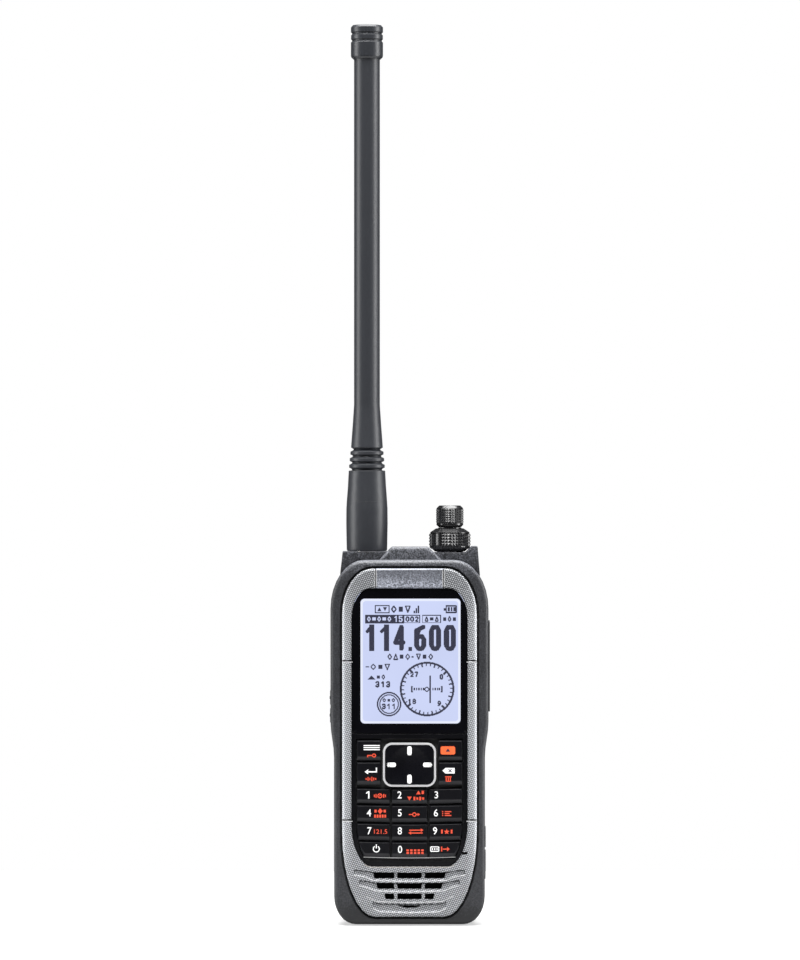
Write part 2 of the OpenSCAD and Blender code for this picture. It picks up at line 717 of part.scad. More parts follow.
module antenna_plug() color([0.72, 0.7, 0.6]) translate([-antenna_x, axis_y, 0]) {
    rotate_extrude() polygon([
        [0, 150], [0.7, 150], [0.7, 158.2], [3.2, 158.2], [3.2, 149.5], [4, 149.5], [4, 158.2],
        [5.75, 158.2], [5.75, 146.5], [7.3, 146.5], [7.3, 160], [1.2, 160],
        [1.2, antenna_top - 8], [0, antenna_top - 8]
    ]);
}

rings = [
    for (i = [0:2]) let (z = 179.7 + 2.6 * i, r = 7.05 - 0.25 * i)
        for (p = [[r - 1, z - 1.05], [r, z - 0.55], [r, z + 0.55], [r - 1, z + 1.05]]) p
];
module antenna_whip() color([0.19, 0.19, 0.2]) translate([-antenna_x, axis_y, 0])
    rotate_extrude() polygon(concat(
        [
            [7.36, antenna_base], [7.7, antenna_base], [8, antenna_base + 0.5], [8.2, 157],
            [8.15, 163], [7.9, 167], [7.5, 172.5], [7.2, 177.9], [5.9, 178.1]
        ],
        rings,
        [
            [5.2, 186.4], [6.3, 187.1], [5.6, 196.5], [rod_r, 204], [rod_r, antenna_top - 3],
            [1.25, antenna_top - 3], [1.25, 160.05], [7.36, 160.05]
        ]
    ));

module antenna_tip() color([0.17, 0.17, 0.18]) translate([-antenna_x, axis_y, antenna_top])
    rotate_extrude() polygon([
        [rod_r + 0.03, -13.4], [5.4, -13.4], [6.2, -12.6], [6.35, -11.9], [6.35, -6.8], [5.9, -6.3],
        [5.9, -5.9], [6.3, -5.5], [6.3, -3.9], [5.9, -3.5], [5.9, -3.1], [6.35, -2.7],
        [6.35, -0.8], [5.7, 0], [0, 0], [0, -2.9], [rod_r + 0.03, -2.9]
    ]);

// ---------------------------------------------------------------- side controls

module ptt_button() color([0.14, 0.14, 0.15]) {
    block([-30.6, ptt_y[0], ptt_z[0]], [-28.4, ptt_y[1], ptt_z[1]]);
    // Grip ribs
    for (i = [0:5])
        block([-31.05, ptt_y[0] + 0.8, 100.8 + 1.55 * i], [-30.5, ptt_y[1] - 0.8, 101.6 + 1.55 * i]);
}

module side_key(z) color([0.14, 0.14, 0.15]) {
    block([-31.2, side_key_y[0], z[0]], [-28.6, side_key_y[1], z[1]]);
    bar_x(side_y, middle_of(z), 0.6, -31.4, -31);
}

// Rubber flap over a recess, with a knuckle along its rear edge
module flap(z, x, t = flap_t) color([0.13, 0.13, 0.14]) {
    difference() {
        prism_x(x + 0.05, x + t) flap_shape(z);
        block([x - 1, flap_axis_y, z[0] - 1], [x + 5, flap_axis_y + 5, z[1] + 1]);
    }
    translate([x + 0.05 + knuckle_r, flap_axis_y, z[0] + 1.2]) cylinder(r = knuckle_r, h = z[1] - z[0] - 2.4);
}
module flap_shape(z) polygon([
    [flap_axis_y - 5.7, z[0] + 0.6], [flap_axis_y - 5.1, z[0]], [flap_axis_y, z[0]],
    [flap_axis_y, z[1]], [flap_axis_y - 5.1, z[1]], [flap_axis_y - 5.7, z[1] - 0.6]
]);
// Extrudes a shape drawn in Y and Z from x0 to x1
module prism_x(x0, x1) {
    translate([x0, 0, 0]) rotate([90, 0, 90]) linear_extrude(x1 - x0) children();
}

// ---------------------------------------------------------------- battery pack

module battery_tray() color([0.15, 0.15, 0.16]) {
    difference() {
        prism(pack_front, pack_split) polygon(pack_outline(0));
        prism(pack_front + 1.2, pack_split + 1) polygon(pack_outline(1.4));
        for (x = [-6, 0, 6]) bar_y(x, 63, 1.3, pack_front - 1, pack_front + 3);
        block([-6.2, 0, 1.5], [6.2, 5, 5.2]);
    }
    // Locating tongues
    for (s = [-1, 1], z = [12, 98])
        block([s * 20 - 2.5, -0.9, z - 1], [s * 20 + 2.5, pack_front + 0.1, z + 1]);
}

module battery_cover() color([0.17, 0.17, 0.18]) difference() {
    loft([for (i = [5:-1:0]) let (s = rounded(pack_back, pack_split, 2.4)[i])
        [s[0], pack_outline(s[1])]]);
    prism(pack_split - 1, pack_back - 1.5) polygon(pack_outline(1.4));
    // Slot of the release latch
    block([-8.3, pack_back - 3, 5.4], [8.3, pack_back + 1, 14.7]);
    // Shallow label field
    prism(pack_back - 0.3, pack_back + 1) round_rect(0, 58, 19, 27, 2);
    // Grip lines
    for (z = [94, 97, 100]) block([-16, pack_back - 0.5, z - 0.5], [16, pack_back + 1, z + 0.5]);
}

module battery_cells() color([0.2, 0.35, 0.6]) {
    for (z = [16, 58.5]) translate([0, 8.2, z]) linear_extrude(40.5) cell_shape();
    // Protection board, straps and contact pads
    block([-22, 3, 100.5], [22, 4.2, 104.5]);
    for (x = [-15, 9]) block([x, 7.5, 56.6], [x + 6, 8.9, 58.4]);
    for (x = [-6, 0, 6]) bar_y(x, 63, 1.15, pack_front + 0.1, pack_front + 1.1);
}
module cell_shape() {
    square([38, 11.6], center = true);
    for (s = [-1, 1]) translate([s * 19, 0]) circle(r = 5.8);
}

module battery_latch() color([0.1, 0.1, 0.11]) {
    block([-8, pack_back - 2.8, 7.3], [8, pack_back - 0.2, 14.4]);
    // Thumb ribs
    for (i = [0:3]) block([-6.5, pack_back - 0.3, 7.7 + 1.8 * i], [6.5, pack_back + 0.35, 8.4 + 1.8 * i]);
    // Arm over the pack's floor, ending in the nose that enters the chassis
    block([-5, -0.9, 3.5], [5, pack_back - 2.6, 4.8]);
    block([-5, pack_back - 3.6, 3.5], [5, pack_back - 2.6, 8.4]);
}

// ---------------------------------------------------------------- assembly

front_case();
rear_chassis();
bezel_frame();
nameplate();
window_lens();
keypad_frame();
keypad_mat();
lcd_panel();
backlight();
logic_board();
rf_board();
speaker_basket();
speaker_cone();
grille_mesh();
microphone();
main_seal();
antenna_socket();
control_unit();
jack_block();
power_sockets();
terminal_block();
case_screws();
side_switches();
volume_knob();
volume_shaft();
dial_knob();
dial_shaft();
for (c = key_cells) key(c[1]);
pad_pivot();
pad_cap();
pad_ring();
ptt_button();
side_key(side_key_upper_z);  // side_key_upper
side_key(side_key_lower_z);  // side_key_lower
flap(jack_cover_z, 29.8, 1.8);  // jack_cover
flap(usb_cover_z, 28.3);  // usb_cover
flap(power_cover_z, 28.3);  // power_cover
antenna_whip();
antenna_tip();
antenna_plug();
battery_tray();
battery_cover();
battery_cells();
battery_latch();
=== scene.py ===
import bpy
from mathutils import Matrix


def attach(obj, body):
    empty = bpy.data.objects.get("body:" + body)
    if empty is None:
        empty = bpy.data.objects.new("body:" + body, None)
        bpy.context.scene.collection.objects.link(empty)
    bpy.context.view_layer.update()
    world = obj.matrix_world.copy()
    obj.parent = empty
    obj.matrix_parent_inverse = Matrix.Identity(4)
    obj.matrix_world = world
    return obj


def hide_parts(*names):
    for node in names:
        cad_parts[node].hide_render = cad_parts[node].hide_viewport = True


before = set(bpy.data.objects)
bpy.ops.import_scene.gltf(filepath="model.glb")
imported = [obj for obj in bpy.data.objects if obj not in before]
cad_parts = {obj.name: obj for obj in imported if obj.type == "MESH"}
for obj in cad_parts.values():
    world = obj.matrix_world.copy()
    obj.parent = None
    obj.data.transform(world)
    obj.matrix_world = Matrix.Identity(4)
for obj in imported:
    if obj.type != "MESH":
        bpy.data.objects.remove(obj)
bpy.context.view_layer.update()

import math

import bmesh
import bpy
from mathutils import Vector

# Lengths are written in millimetres, and MM turns them into the frame's metres
MM = 0.001

# Upright axes of the knobs and of the antenna, the case's front plane, the pad's middle, the
# display's dots and the grille's rows
KNOB = (16.0, 3.5)
ANTENNA = (-16.8, 3.5)
FACE = -15.0
PAD_Z = 62.7
DOT = 0.2
SLOT_PITCH = 4.1
# Outline of the black panel: half its width, its two ends, and the radii of its corners
PANEL_HALF_W, PANEL_BOTTOM, PANEL_TOP = 22.8, 22.7, 131.8
PANEL_CORNER = (7.5, 12.0)
PANEL_FOOT = (8.0, 17.0)

# ---- camera

scene = bpy.context.scene
scene.view_settings.view_transform = "Standard"
scene.view_settings.look = "None"


def camera():
    data = bpy.data.cameras.new("camera")
    cam = bpy.data.objects.new("camera", data)
    scene.collection.objects.link(cam)
    # Level with the middle of the view, so that the foot is seen a little from above
    distance, seen_across = 1900.0, 376.3
    cam.location = Vector((-3.72, FACE - distance, 174.24)) * MM
    cam.rotation_euler = (math.radians(90), 0, 0)
    data.sensor_width = 36.0
    data.lens = data.sensor_width * distance / seen_across
    data.clip_start, data.clip_end = 0.01, 50
    scene.camera = cam


camera()

# ---- materials


class Nodes:
    """A small helper for building one material."""

    def __init__(self, name, colour, rough, metallic=0.0):
        self.material = bpy.data.materials.new(name)
        self.material.use_nodes = True
        self.tree = self.material.node_tree
        self.shader = self.tree.nodes["Principled BSDF"]
        self.shader.inputs["Base Color"].default_value = (*colour, 1)
        self.shader.inputs["Roughness"].default_value = rough
        self.shader.inputs["Metallic"].default_value = metallic
        self.coords = self.new("ShaderNodeTexCoord").outputs["Object"]
        self.bumps = []

    def new(self, kind, **props):
        n = self.tree.nodes.new(kind)
        for k, v in props.items():
            setattr(n, k, v)
        return n

    def link(self, a, b):
        self.tree.links.new(a, b)

    def noise(self, scale, detail=2.0, rough=0.5):
        """Noise whose features are about scale millimetres across."""
        n = self.new("ShaderNodeTexNoise")
        n.inputs["Scale"].default_value = 1000.0 / scale
        n.inputs["Detail"].default_value = detail
        n.inputs["Roughness"].default_value = rough
        self.link(self.coords, n.inputs["Vector"])
        return n.outputs["Fac"]

    def cells(self, scale):
        n = self.new("ShaderNodeTexVoronoi")
        n.inputs["Scale"].default_value = 1000.0 / scale
        self.link(self.coords, n.inputs["Vector"])
        return n.outputs["Distance"]

    def axes(self, vector=None):
        """The three parts of a vector, or of the place."""
        xyz = self.new("ShaderNodeSeparateXYZ")
        self.link(vector or self.coords, xyz.inputs[0])
        return xyz.outputs

    def height(self, z0, z1):
        """Runs from 0 to 1 between two heights in millimetres."""
        n = self.new("ShaderNodeMapRange")
        n.inputs["From Min"].default_value = z0 * MM
        n.inputs["From Max"].default_value = z1 * MM
        self.link(self.axes()[2], n.inputs["Value"])
        return n.outputs[0]

    def math(self, op, a, b=None, clamp=False):
        n = self.new("ShaderNodeMath", operation=op, use_clamp=clamp)
        for i, v in enumerate((a, b)):
            if isinstance(v, (int, float)):
                n.inputs[i].default_value = v
            elif v is not None:
                self.link(v, n.inputs[i])
        return n.outputs[0]

    def plus(self, a, b):
        return self.math("ADD", a, b)

    def minus(self, a, b):
        return self.math("SUBTRACT", a, b)

    def times(self, a, b, clamp=False):
        return self.math("MULTIPLY", a, b, clamp)

    def wave(self, place, pitch):
        """A sine that repeats every pitch millimetres."""
        return self.math("SINE", self.times(place, 2 * math.pi * 1000 / pitch))

    def ramp(self, fac, stops):
        n = self.new("ShaderNodeValToRGB")
        e = n.color_ramp.elements
        while len(e) < len(stops):
            e.new(0.5)
        for el, (p, c) in zip(e, stops):
            el.position = p
            el.color = (*c, 1)
        self.link(fac, n.inputs[0])
        return n.outputs[0]

    def tint(self, fac, low, high, lo=0.3, hi=0.7):
        """Base colour from low to high as fac runs from lo to hi."""
        self.link(self.ramp(fac, [(lo, low), (hi, high)]), self.shader.inputs["Base Color"])

    def vary_rough(self, fac, low, high):
        n = self.new("ShaderNodeMapRange")
        n.inputs["To Min"].default_value = low
        n.inputs["To Max"].default_value = high
        self.link(fac, n.inputs["Value"])
        self.link(n.outputs[0], self.shader.inputs["Roughness"])

    def bump(self, height, depth):
        self.bumps.append((height, depth))

    def done(self, edge=0.0):
        """Chains the bumps, with edges rounded by edge millimetres."""
        normal = None
        if edge:
            n = self.new("ShaderNodeBevel", samples=4)
            n.inputs["Radius"].default_value = edge * MM
            normal = n.outputs[0]
        for height, depth in self.bumps:
            n = self.new("ShaderNodeBump")
            n.inputs["Strength"].default_value = 1.0
            n.inputs["Distance"].default_value = depth * MM
            self.link(height, n.inputs["Height"])
            if normal is not None:
                self.link(normal, n.inputs["Normal"])
            normal = n.outputs[0]
        if normal is not None:
            self.link(normal, self.shader.inputs["Normal"])
        return self.material


def scaled(c, k):
    return tuple(min(1.0, v * k) for v in c)


def grained(name, colour, rough, grain=0.35, depth=0.03, spread=0.35, edge=0.25, mottle=14.0, shine=0.5,
            metallic=0.0, painted_light=None):
    """Moulded plastic or rubber with a fine spark-eroded grain.

    The last argument gives two heights between which painted light makes it paler, and by how much.
    """
    n = Nodes(name, colour, rough, metallic)
    n.shader.inputs["Specular IOR Level"].default_value = shine
    fine = n.noise(grain, 3.0, 0.65)
    broad = n.noise(mottle, 2.0)
    both = n.plus(n.times(fine, 0.8), n.times(broad, 0.2))
    if painted_light:
        # Painted light: between the two heights it grows paler and more speckled, the speckle partly its
        # grain and partly a painted sparkle; painted shade darkens its foot, and a painted highlight lightens
        # its upper edges
        z0, z1, gain = painted_light
        high = n.height(z0, z1)
        both = n.plus(both, n.times(high, 0.26))
        grain_and_painted_sparkle = n.times(n.minus(fine, 0.5), 1.8)
        both = n.plus(both, n.times(grain_and_painted_sparkle, high))
        both = n.minus(both, n.times(n.height(10, 0), 0.3))
        up = n.axes(n.new("ShaderNodeNewGeometry").outputs["Normal"])[2]
        painted_edge_highlight = n.times(n.minus(up, 0.22), 2.0, True)
        both = n.plus(both, n.times(painted_edge_highlight, n.times(n.height(118, 136), 0.16)))
        n.link(n.ramp(both, [(0.36, scaled(colour, 1 - spread)), (0.64, scaled(colour, 1 + spread)),
                             (0.95, scaled(colour, gain))]), n.shader.inputs["Base Color"])
    else:
        n.tint(both, scaled(colour, 1 - spread), scaled(colour, 1 + spread), 0.36, 0.64)
    n.vary_rough(fine, rough - 0.08, rough + 0.1)
    n.bump(fine, depth)
    return n.done(edge)


def metal(name, colour, rough):
    n = Nodes(name, colour, rough, 1.0)
    fine = n.noise(0.5, 4.0, 0.6)
    n.tint(fine, scaled(colour, 0.85), scaled(colour, 1.1))
    n.vary_rough(fine, rough - 0.06, rough + 0.08)
    n.bump(fine, 0.006)
    return n.done(0.15)


def woven_silver(name, colour):
    """Silver paint over a fine slanting lattice of raised dots."""
    n = Nodes(name, colour, 0.4, 0.3)
    x, _, z = n.axes()
    pitch = 0.76
    u = n.wave(n.plus(x, n.times(z, 0.45)), pitch)
    v = n.wave(n.minus(z, n.times(x, 0.3)), pitch)
    dots = n.times(n.plus(n.times(u, 0.5), 0.5), n.plus(n.times(v, 0.5), 0.5))
    fine = n.noise(0.5, 3.0)
    both = n.plus(n.times(dots, 0.75), n.times(fine, 0.25))
    # Painted shade darkens the two upper corners and the inner side of the frame, and a painted highlight
    # brightens its outer edge
    both = n.minus(both, n.times(n.height(120, 138), 0.09))
    aside = n.math("ABSOLUTE", x)
    inner = n.times(n.minus(26.0 * MM, aside), 250.0, True)
    outer = n.times(n.minus(aside, 25.0 * MM), 1000.0, True)
    both = n.plus(n.minus(both, n.times(inner, 0.12)), n.times(outer, 0.18))
    n.tint(both, scaled(colour, 0.28), scaled(colour, 2.4), 0.06, 0.75)
    n.vary_rough(dots, 0.5, 0.3)
    n.bump(dots, 0.06)
    return n.done(0.2)


def gloss_black(name, colour, rough):
    n = Nodes(name, colour, rough)
    n.shader.inputs["Specular IOR Level"].default_value = 0.2
    smudge = n.noise(9.0, 3.0)
    n.tint(smudge, scaled(colour, 0.8), scaled(colour, 1.25))
    n.vary_rough(smudge, rough, rough + 0.06)
    n.bump(n.noise(2.5, 1.0), 0.004)
    return n.done(0.15)


def printed(name, colour, painted_glow):
    n = Nodes(name, colour, 0.45)
    fine = n.noise(0.3, 2.0)
    n.tint(fine, scaled(colour, 0.93), scaled(colour, 1.05))
    n.bump(fine, 0.003)
    # Painted light: the print glows faintly
    n.shader.inputs["Emission Color"].default_value = (*colour, 1)
    n.shader.inputs["Emission Strength"].default_value = painted_glow
    return n.done()


def lit_glass(name, colour):
    """The lit face of the display, with its faint dot grid."""
    n = Nodes(name, (0.01, 0.01, 0.012), 0.2)
    n.shader.inputs["Specular IOR Level"].default_value = 0.1
    x, _, z = n.axes()
    grid = n.plus(n.wave(x, DOT), n.wave(z, DOT))
    both = n.plus(n.times(grid, 0.03), n.noise(26.0, 1.0))
    n.link(n.ramp(both, [(0.3, scaled(colour, 0.96)), (0.7, scaled(colour, 1.03))]),
           n.shader.inputs["Emission Color"])
    n.shader.inputs["Emission Strength"].default_value = 1.0
    return n.done()


def board_green(name):
    n = Nodes(name, (0.02, 0.13, 0.06), 0.35)
    traces = n.cells(2.0)
    n.tint(traces, (0.012, 0.09, 0.04), (0.05, 0.22, 0.1), 0.1, 0.5)
    n.bump(traces, 0.03)
    return n.done()


CASE = (0.026, 0.027, 0.031)
MATERIALS = {
    # The case, chassis and nameplate carry painted light: the case and chassis grow paler towards their tops,
    # the nameplate towards its lower edge
    "case": grained("case_plastic", CASE, 0.42, 0.55, 0.09, 0.6, 0.3, painted_light=(135, 144, 5.0)),
    "chassis": grained("chassis_plastic", CASE, 0.42, 0.55, 0.09, 0.6, 0.3, painted_light=(139, 149, 5.0)),
    "bezel": woven_silver("bezel_paint", (0.36, 0.37, 0.39)),
    "nameplate": grained("nameplate_paint", (0.14, 0.147, 0.17), 0.34, 0.45, 0.02, 0.6, 0.2, metallic=0.2,
                         painted_light=(138, 131, 4.0)),
    "lens": gloss_black("lens_acrylic", (0.002, 0.002, 0.003), 0.1),
    "panel": gloss_black("panel_black", (0.003, 0.003, 0.004), 0.2),
    "key": grained("key_black", (0.004, 0.004, 0.0055), 0.3, 0.2, 0.006, 0.25, 0.1, shine=0.15),
    # A paler copy of the keys' black, painted as a highlight on their lower slopes
    "facet": grained("key_black_facet", (0.018, 0.018, 0.021), 0.4, 0.2, 0.008, 0.2, 0.0, shine=0.3),
    "pad": gloss_black("pad_black", (0.003, 0.003, 0.0045), 0.2),
    # Silver of the pad's ring, also used for painted highlights on the grooves' lips and beside the seams
    "silver_and_painted_highlight": grained("pad_silver", (0.62, 0.62, 0.63), 0.3, 0.5, 0.006, 0.08, 0.15, metallic=0.2),
    # A painted highlight under the last row of keys
    "rule": grained("painted_highlight_grey", (0.42, 0.42, 0.42), 0.4, 0.5, 0.0, 0.1, 0.0),
    # A painted highlight on the bezel's lower lip
    "painted_edge_highlight": grained("painted_lip_highlight", (0.42, 0.39, 0.35), 0.4, 0.5, 0.0, 0.2, 0.0),
    "white": printed("legend_white", (0.85, 0.85, 0.85), 0.2),
    "orange": printed("legend_orange", (0.72, 0.07, 0.028), 0.1),
    "pill": printed("function_orange", (0.85, 0.12, 0.03), 0.2),
    "lcd": lit_glass("lcd_glass", (0.60, 0.66, 0.92)),
    "lcd_edge": lit_glass("lcd_glass_edge", (0.80, 0.84, 0.97)),
    "ink": printed("lcd_ink", (0.018, 0.019, 0.038), 0.3),
    "mat": grained("mat_rubber", (0.012, 0.012, 0.013), 0.7, 0.3, 0.02),
    "antenna": grained("antenna_rubber", (0.024, 0.026, 0.031), 0.4, 0.3, 0.012, 0.16, 0.2, 30.0),
    "cap": grained("antenna_cap", (0.024, 0.026, 0.031), 0.34, 0.3, 0.012, 0.18, 0.2),
    "knob": grained("knob_black", (0.008, 0.008, 0.009), 0.22, 0.3, 0.002, 0.25, 0.0, shine=0.8),
    "pointer": grained("pointer_black", (0.006, 0.006, 0.007), 0.4, 0.3, 0.0, 0.25, 0.3, shine=0.3),
    "button": grained("button_rubber", (0.028, 0.029, 0.032), 0.55, 0.35, 0.03, 0.25, 0.25),
    "flap": grained("flap_rubber", (0.028, 0.029, 0.032), 0.55, 0.35, 0.03, 0.25, 0.3),
    "pack": grained("pack_plastic", (0.032, 0.033, 0.037), 0.46, 0.3, 0.03, 0.3, 0.3),
    "latch": grained("latch_black", (0.025, 0.025, 0.028), 0.4, 0.3, 0.015, 0.25, 0.2),
    "connector": grained("connector_black", (0.025, 0.025, 0.027), 0.45, 0.4, 0.01, 0.2, 0.1),
    # Black of the speaker's mesh, also used for painted shadows in the grooves, seams and bezel joint, and in
    # the microphone's hole
    "mesh": grained("mesh_black", (0.001, 0.001, 0.001), 0.8, 0.4, 0.1, 0.5, 0.0, shine=0.05),
    "nickel": metal("nickel", (0.74, 0.72, 0.67), 0.22),
    "alu": metal("control_metal", (0.62, 0.62, 0.64), 0.35),
    "steel": metal("speaker_steel", (0.45, 0.46, 0.48), 0.35),
    "screw": metal("screw_steel", (0.3, 0.3, 0.32), 0.35),
    "shaft": metal("shaft_steel", (0.6, 0.6, 0.62), 0.3),
    "brass": metal("contact_brass", (0.8, 0.6, 0.25), 0.25),
    "wrap": grained("cell_can", (0.06, 0.14, 0.32), 0.3, 0.6, 0.01),
    "seal": grained("seal_rubber", (0.35, 0.08, 0.05), 0.55),
    "boot": grained("mic_boot", (0.03, 0.03, 0.03), 0.6),
    "diffuser": grained("diffuser", (0.8, 0.81, 0.84), 0.3, 1.0, 0.01, 0.05),
    "board": board_green("circuit_board"),
}
# The carried-over nodes that each material is for; the keys' stay key_black
MATERIAL_NODES = {
    "case": "front_case", "chassis": "rear_chassis", "bezel": "bezel_frame", "nameplate": "nameplate",
    "lens": "window_lens", "panel": "keypad_frame", "mat": "keypad_mat", "lcd": "lcd_panel",
    "diffuser": "backlight", "board": "logic_board rf_board side_switches", "steel": "speaker_basket",
    "mesh": "speaker_cone grille_mesh", "boot": "microphone", "seal": "main_seal",
    "nickel": "antenna_socket antenna_plug", "alu": "control_unit", "brass": "terminal_block",
    "connector": "jack_block power_sockets pad_pivot", "screw": "case_screws",
    "knob": "volume_knob dial_knob", "shaft": "volume_shaft dial_shaft", "pad": "pad_cap",
    "silver_and_painted_highlight": "pad_ring", "button": "ptt_button side_key_upper side_key_lower",
    "flap": "jack_cover usb_cover power_cover", "antenna": "antenna_whip", "cap": "antenna_tip",
    "pack": "battery_tray battery_cover", "wrap": "battery_cells", "latch": "battery_latch",
}
NODE_MATERIAL = {node: kind for kind, names in MATERIAL_NODES.items() for node in names.split()}

# ---- mesh helpers

# Edges that turn by more than this many degrees stay sharp
SHARP = 32.0


def smooth_by_angle(o, angle):
    """Shades a mesh smoothly, except over edges sharper than an angle in degrees."""
    o.data.shade_smooth()
    e = o.modifiers.new("edges", "EDGE_SPLIT")
    e.split_angle = math.radians(angle)
    n = o.modifiers.new("normals", "WEIGHTED_NORMAL")
    n.weight = 60
    n.keep_sharp = True


def add(name, bm, material, body, bevel=0.0, segments=2, angle=SHARP):
    """Makes a piece of the mesh in millimetres, and has it ride on a body."""
    bmesh.ops.recalc_face_normals(bm, faces=bm.faces)
    bmesh.ops.scale(bm, vec=[MM] * 3, verts=bm.verts)
    mesh = bpy.data.meshes.new(name)
    bm.to_mesh(mesh)
    bm.free()
    o = bpy.data.objects.new(name, mesh)
    scene.collection.objects.link(o)
    if bevel:
        b = o.modifiers.new("bevel", "BEVEL")
        b.width = bevel * MM
        b.segments = segments
        b.limit_method = "ANGLE"
        b.angle_limit = math.radians(25)
    smooth_by_angle(o, angle)
    mesh.materials.append(MATERIALS[material])
    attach(o, body)
    return o


def mark(name, draw, material, body):
    """Makes a piece of what draw adds to an empty mesh."""
    bm = bmesh.new()
    draw(bm)
    add(name, bm, material, body)


def corner(cx, cz, rx, rz, a0, a1, n):
    """Points on an elliptical corner, from angle a0 to a1."""
    return [(cx + rx * math.cos(math.radians(a0 + (a1 - a0) * i / n)),
             cz + rz * math.sin(math.radians(a0 + (a1 - a0) * i / n))) for i in range(n + 1)]


def shield(hw, z0, z1, top, foot, d=0.0, n=16, cx=0.0):
    """A closed outline with elliptical corners, drawn inwards by d."""
    pts = (corner(hw - foot[0], z0 + foot[1], foot[0] - d, foot[1] - d, 270, 360, n)
           + corner(hw - top[0], z1 - top[1], top[0] - d, top[1] - d, 0, 90, n)
           + corner(top[0] - hw, z1 - top[1], top[0] - d, top[1] - d, 90, 180, n)
           + corner(foot[0] - hw, z0 + foot[1], foot[0] - d, foot[1] - d, 180, 270, n))
    return [(x + cx, z) for x, z in pts]


def panel_outline(d):
    return shield(PANEL_HALF_W, PANEL_BOTTOM, PANEL_TOP, PANEL_CORNER, PANEL_FOOT, d, 32)


def bezel_outline(d):
    return shield(26.4, 3.0, 139.6, (12.0, 18.0), (12.8, 33.0), d, 32)


def skin(bm, loops):
    """Joins closed loops of equal point count, each to the next."""
    for a, b in zip(loops, loops[1:]):
        for i in range(len(a)):
            j = (i + 1) % len(a)
            bm.faces.new((a[i], a[j], b[j], b[i]))


def loops_of(bm, sections):
    """A loop of vertices for each section (y, points)."""
    return [[bm.verts.new((x, y, z)) for x, z in pts] for y, pts in sections]


def loft(bm, sections):
    """Skins sections of equal point count, and caps the two ends."""
    loops = loops_of(bm, sections)
    skin(bm, loops)
    bm.faces.new(loops[0])
    bm.faces.new(loops[-1])


def frame_plate(bm, outer, inner, y0, y1):
    """A plate between two outlines of equal point count."""
    loops = loops_of(bm, [(y0, outer), (y0, inner), (y1, inner), (y1, outer)])
    skin(bm, loops + loops[:1])


def flat(bm, pts, y0, y1):
    """A flat closed slab of one outline."""
    loft(bm, [(y0, pts), (y1, pts)])


def bar(bm, cx, cz, w, h, y0, y1, turn=0.0, r=0.0):
    """A slab w by h, turned by degrees, with corners rounded by r."""
    if r:
        pts = shield(w / 2, -h / 2, h / 2, (r, r), (r, r), 0, 5)
    else:
        pts = [(w / 2, -h / 2), (w / 2, h / 2), (-w / 2, h / 2), (-w / 2, -h / 2)]
    a = math.radians(turn)
    flat(bm, [(cx + x * math.cos(a) - z * math.sin(a), cz + x * math.sin(a) + z * math.cos(a))
              for x, z in pts], y0, y1)


def ring(bm, cx, cz, r0, r1, y0, y1, a0=0.0, a1=360.0, n=28):
    """A flat ring, or part of one."""
    whole = a1 - a0 == 360
    loops = []
    for i in range(n if whole else n + 1):
        a = math.radians(a0 + (a1 - a0) * i / n)
        loops.append([bm.verts.new((cx + r * math.cos(a), y, cz + r * math.sin(a)))
                      for r, y in ((r1, y0), (r0, y0), (r0, y1), (r1, y1))])
    if whole:
        skin(bm, loops + loops[:1])
    else:
        skin(bm, loops)
        bm.faces.new(loops[0])
        bm.faces.new(loops[-1])


def lathe(bm, profile, n, centre):
    """Turns a closed profile of (r, z) about an upright axis."""
    loops = []
    for i in range(n):
        a = 2 * math.pi * i / n
        loops.append([bm.verts.new((centre[0] + r * math.cos(a), centre[1] + r * math.sin(a), z))
                      for r, z in profile])
    skin(bm, loops + loops[:1])


# ---- carried-over nodes

for name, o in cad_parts.items():
    o.data.materials.clear()
    o.data.materials.append(MATERIALS[NODE_MATERIAL.get(name, "key")])
    if "custom_normal" in o.data.attributes:
        o.data.attributes.remove(o.data.attributes["custom_normal"])
    weld = o.modifiers.new("weld", "WELD")
    weld.merge_threshold = 0.002 * MM
    smooth_by_angle(o, SHARP)

# ---- knobs


def knurled(name, body, node, below, above, rows, cols, z0, pitch, depth, radius,
            smooth=lambda a: False):
    """A knob turned from a profile, with rows of four-sided pyramids around its grip.

    The grip starts at z0. radius gives its radius at a height, and smooth tells at which angles
    around it there are no pyramids.
    """
    cx, cy = KNOB
    bm = bmesh.new()
    steps, levels = cols * 2, 2 * rows + 1
    first, last = len(below), len(below) + levels + len(above) - 1
    grid = []
    for s in range(steps):
        a = 2 * math.pi * s / steps - math.pi / 2
        column = list(below)
        for i in range(levels):
            z = z0 + pitch * i / 2
            if smooth(a):
                r = radius(z) - depth * 0.45
            else:
                r = radius(z) - (0.0 if s % 2 == 1 and i % 2 == 1 else depth)
            column.append((r, z))
        column += above
        grid.append([bm.verts.new((cx + r * math.cos(a), cy + r * math.sin(a), z)) for r, z in column])
    for s in range(steps):
        a, b = grid[s], grid[(s + 1) % steps]
        for k in range(last):
            quad = (a[k], b[k], b[k + 1], a[k + 1])
            i = k - first
            if 0 <= i < levels - 1:
                # Split each quarter of a pyramid along the line that leads to its tip
                turn = 0 if (s % 2 == 0) == (i % 2 == 0) else 1
                bm.faces.new((quad[turn], quad[turn + 1], quad[turn + 2]))
                bm.faces.new((quad[turn], quad[turn + 2], quad[(turn + 3) % 4]))
            else:
                bm.faces.new(quad)
        bm.faces.new((a[last], b[last], b[0], a[0]))
    o = add(name, bm, "knob", body, angle=28.0)
    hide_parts(node)


# Degrees from the front to the pointer, leftwards
POINTER_TURN = 37


def by_pointer(a):
    """Whether an angle lies on the smooth patch around the pointer."""
    d = (math.degrees(a) + 90 + POINTER_TURN + 180) % 360 - 180
    return abs(d) < 9.5


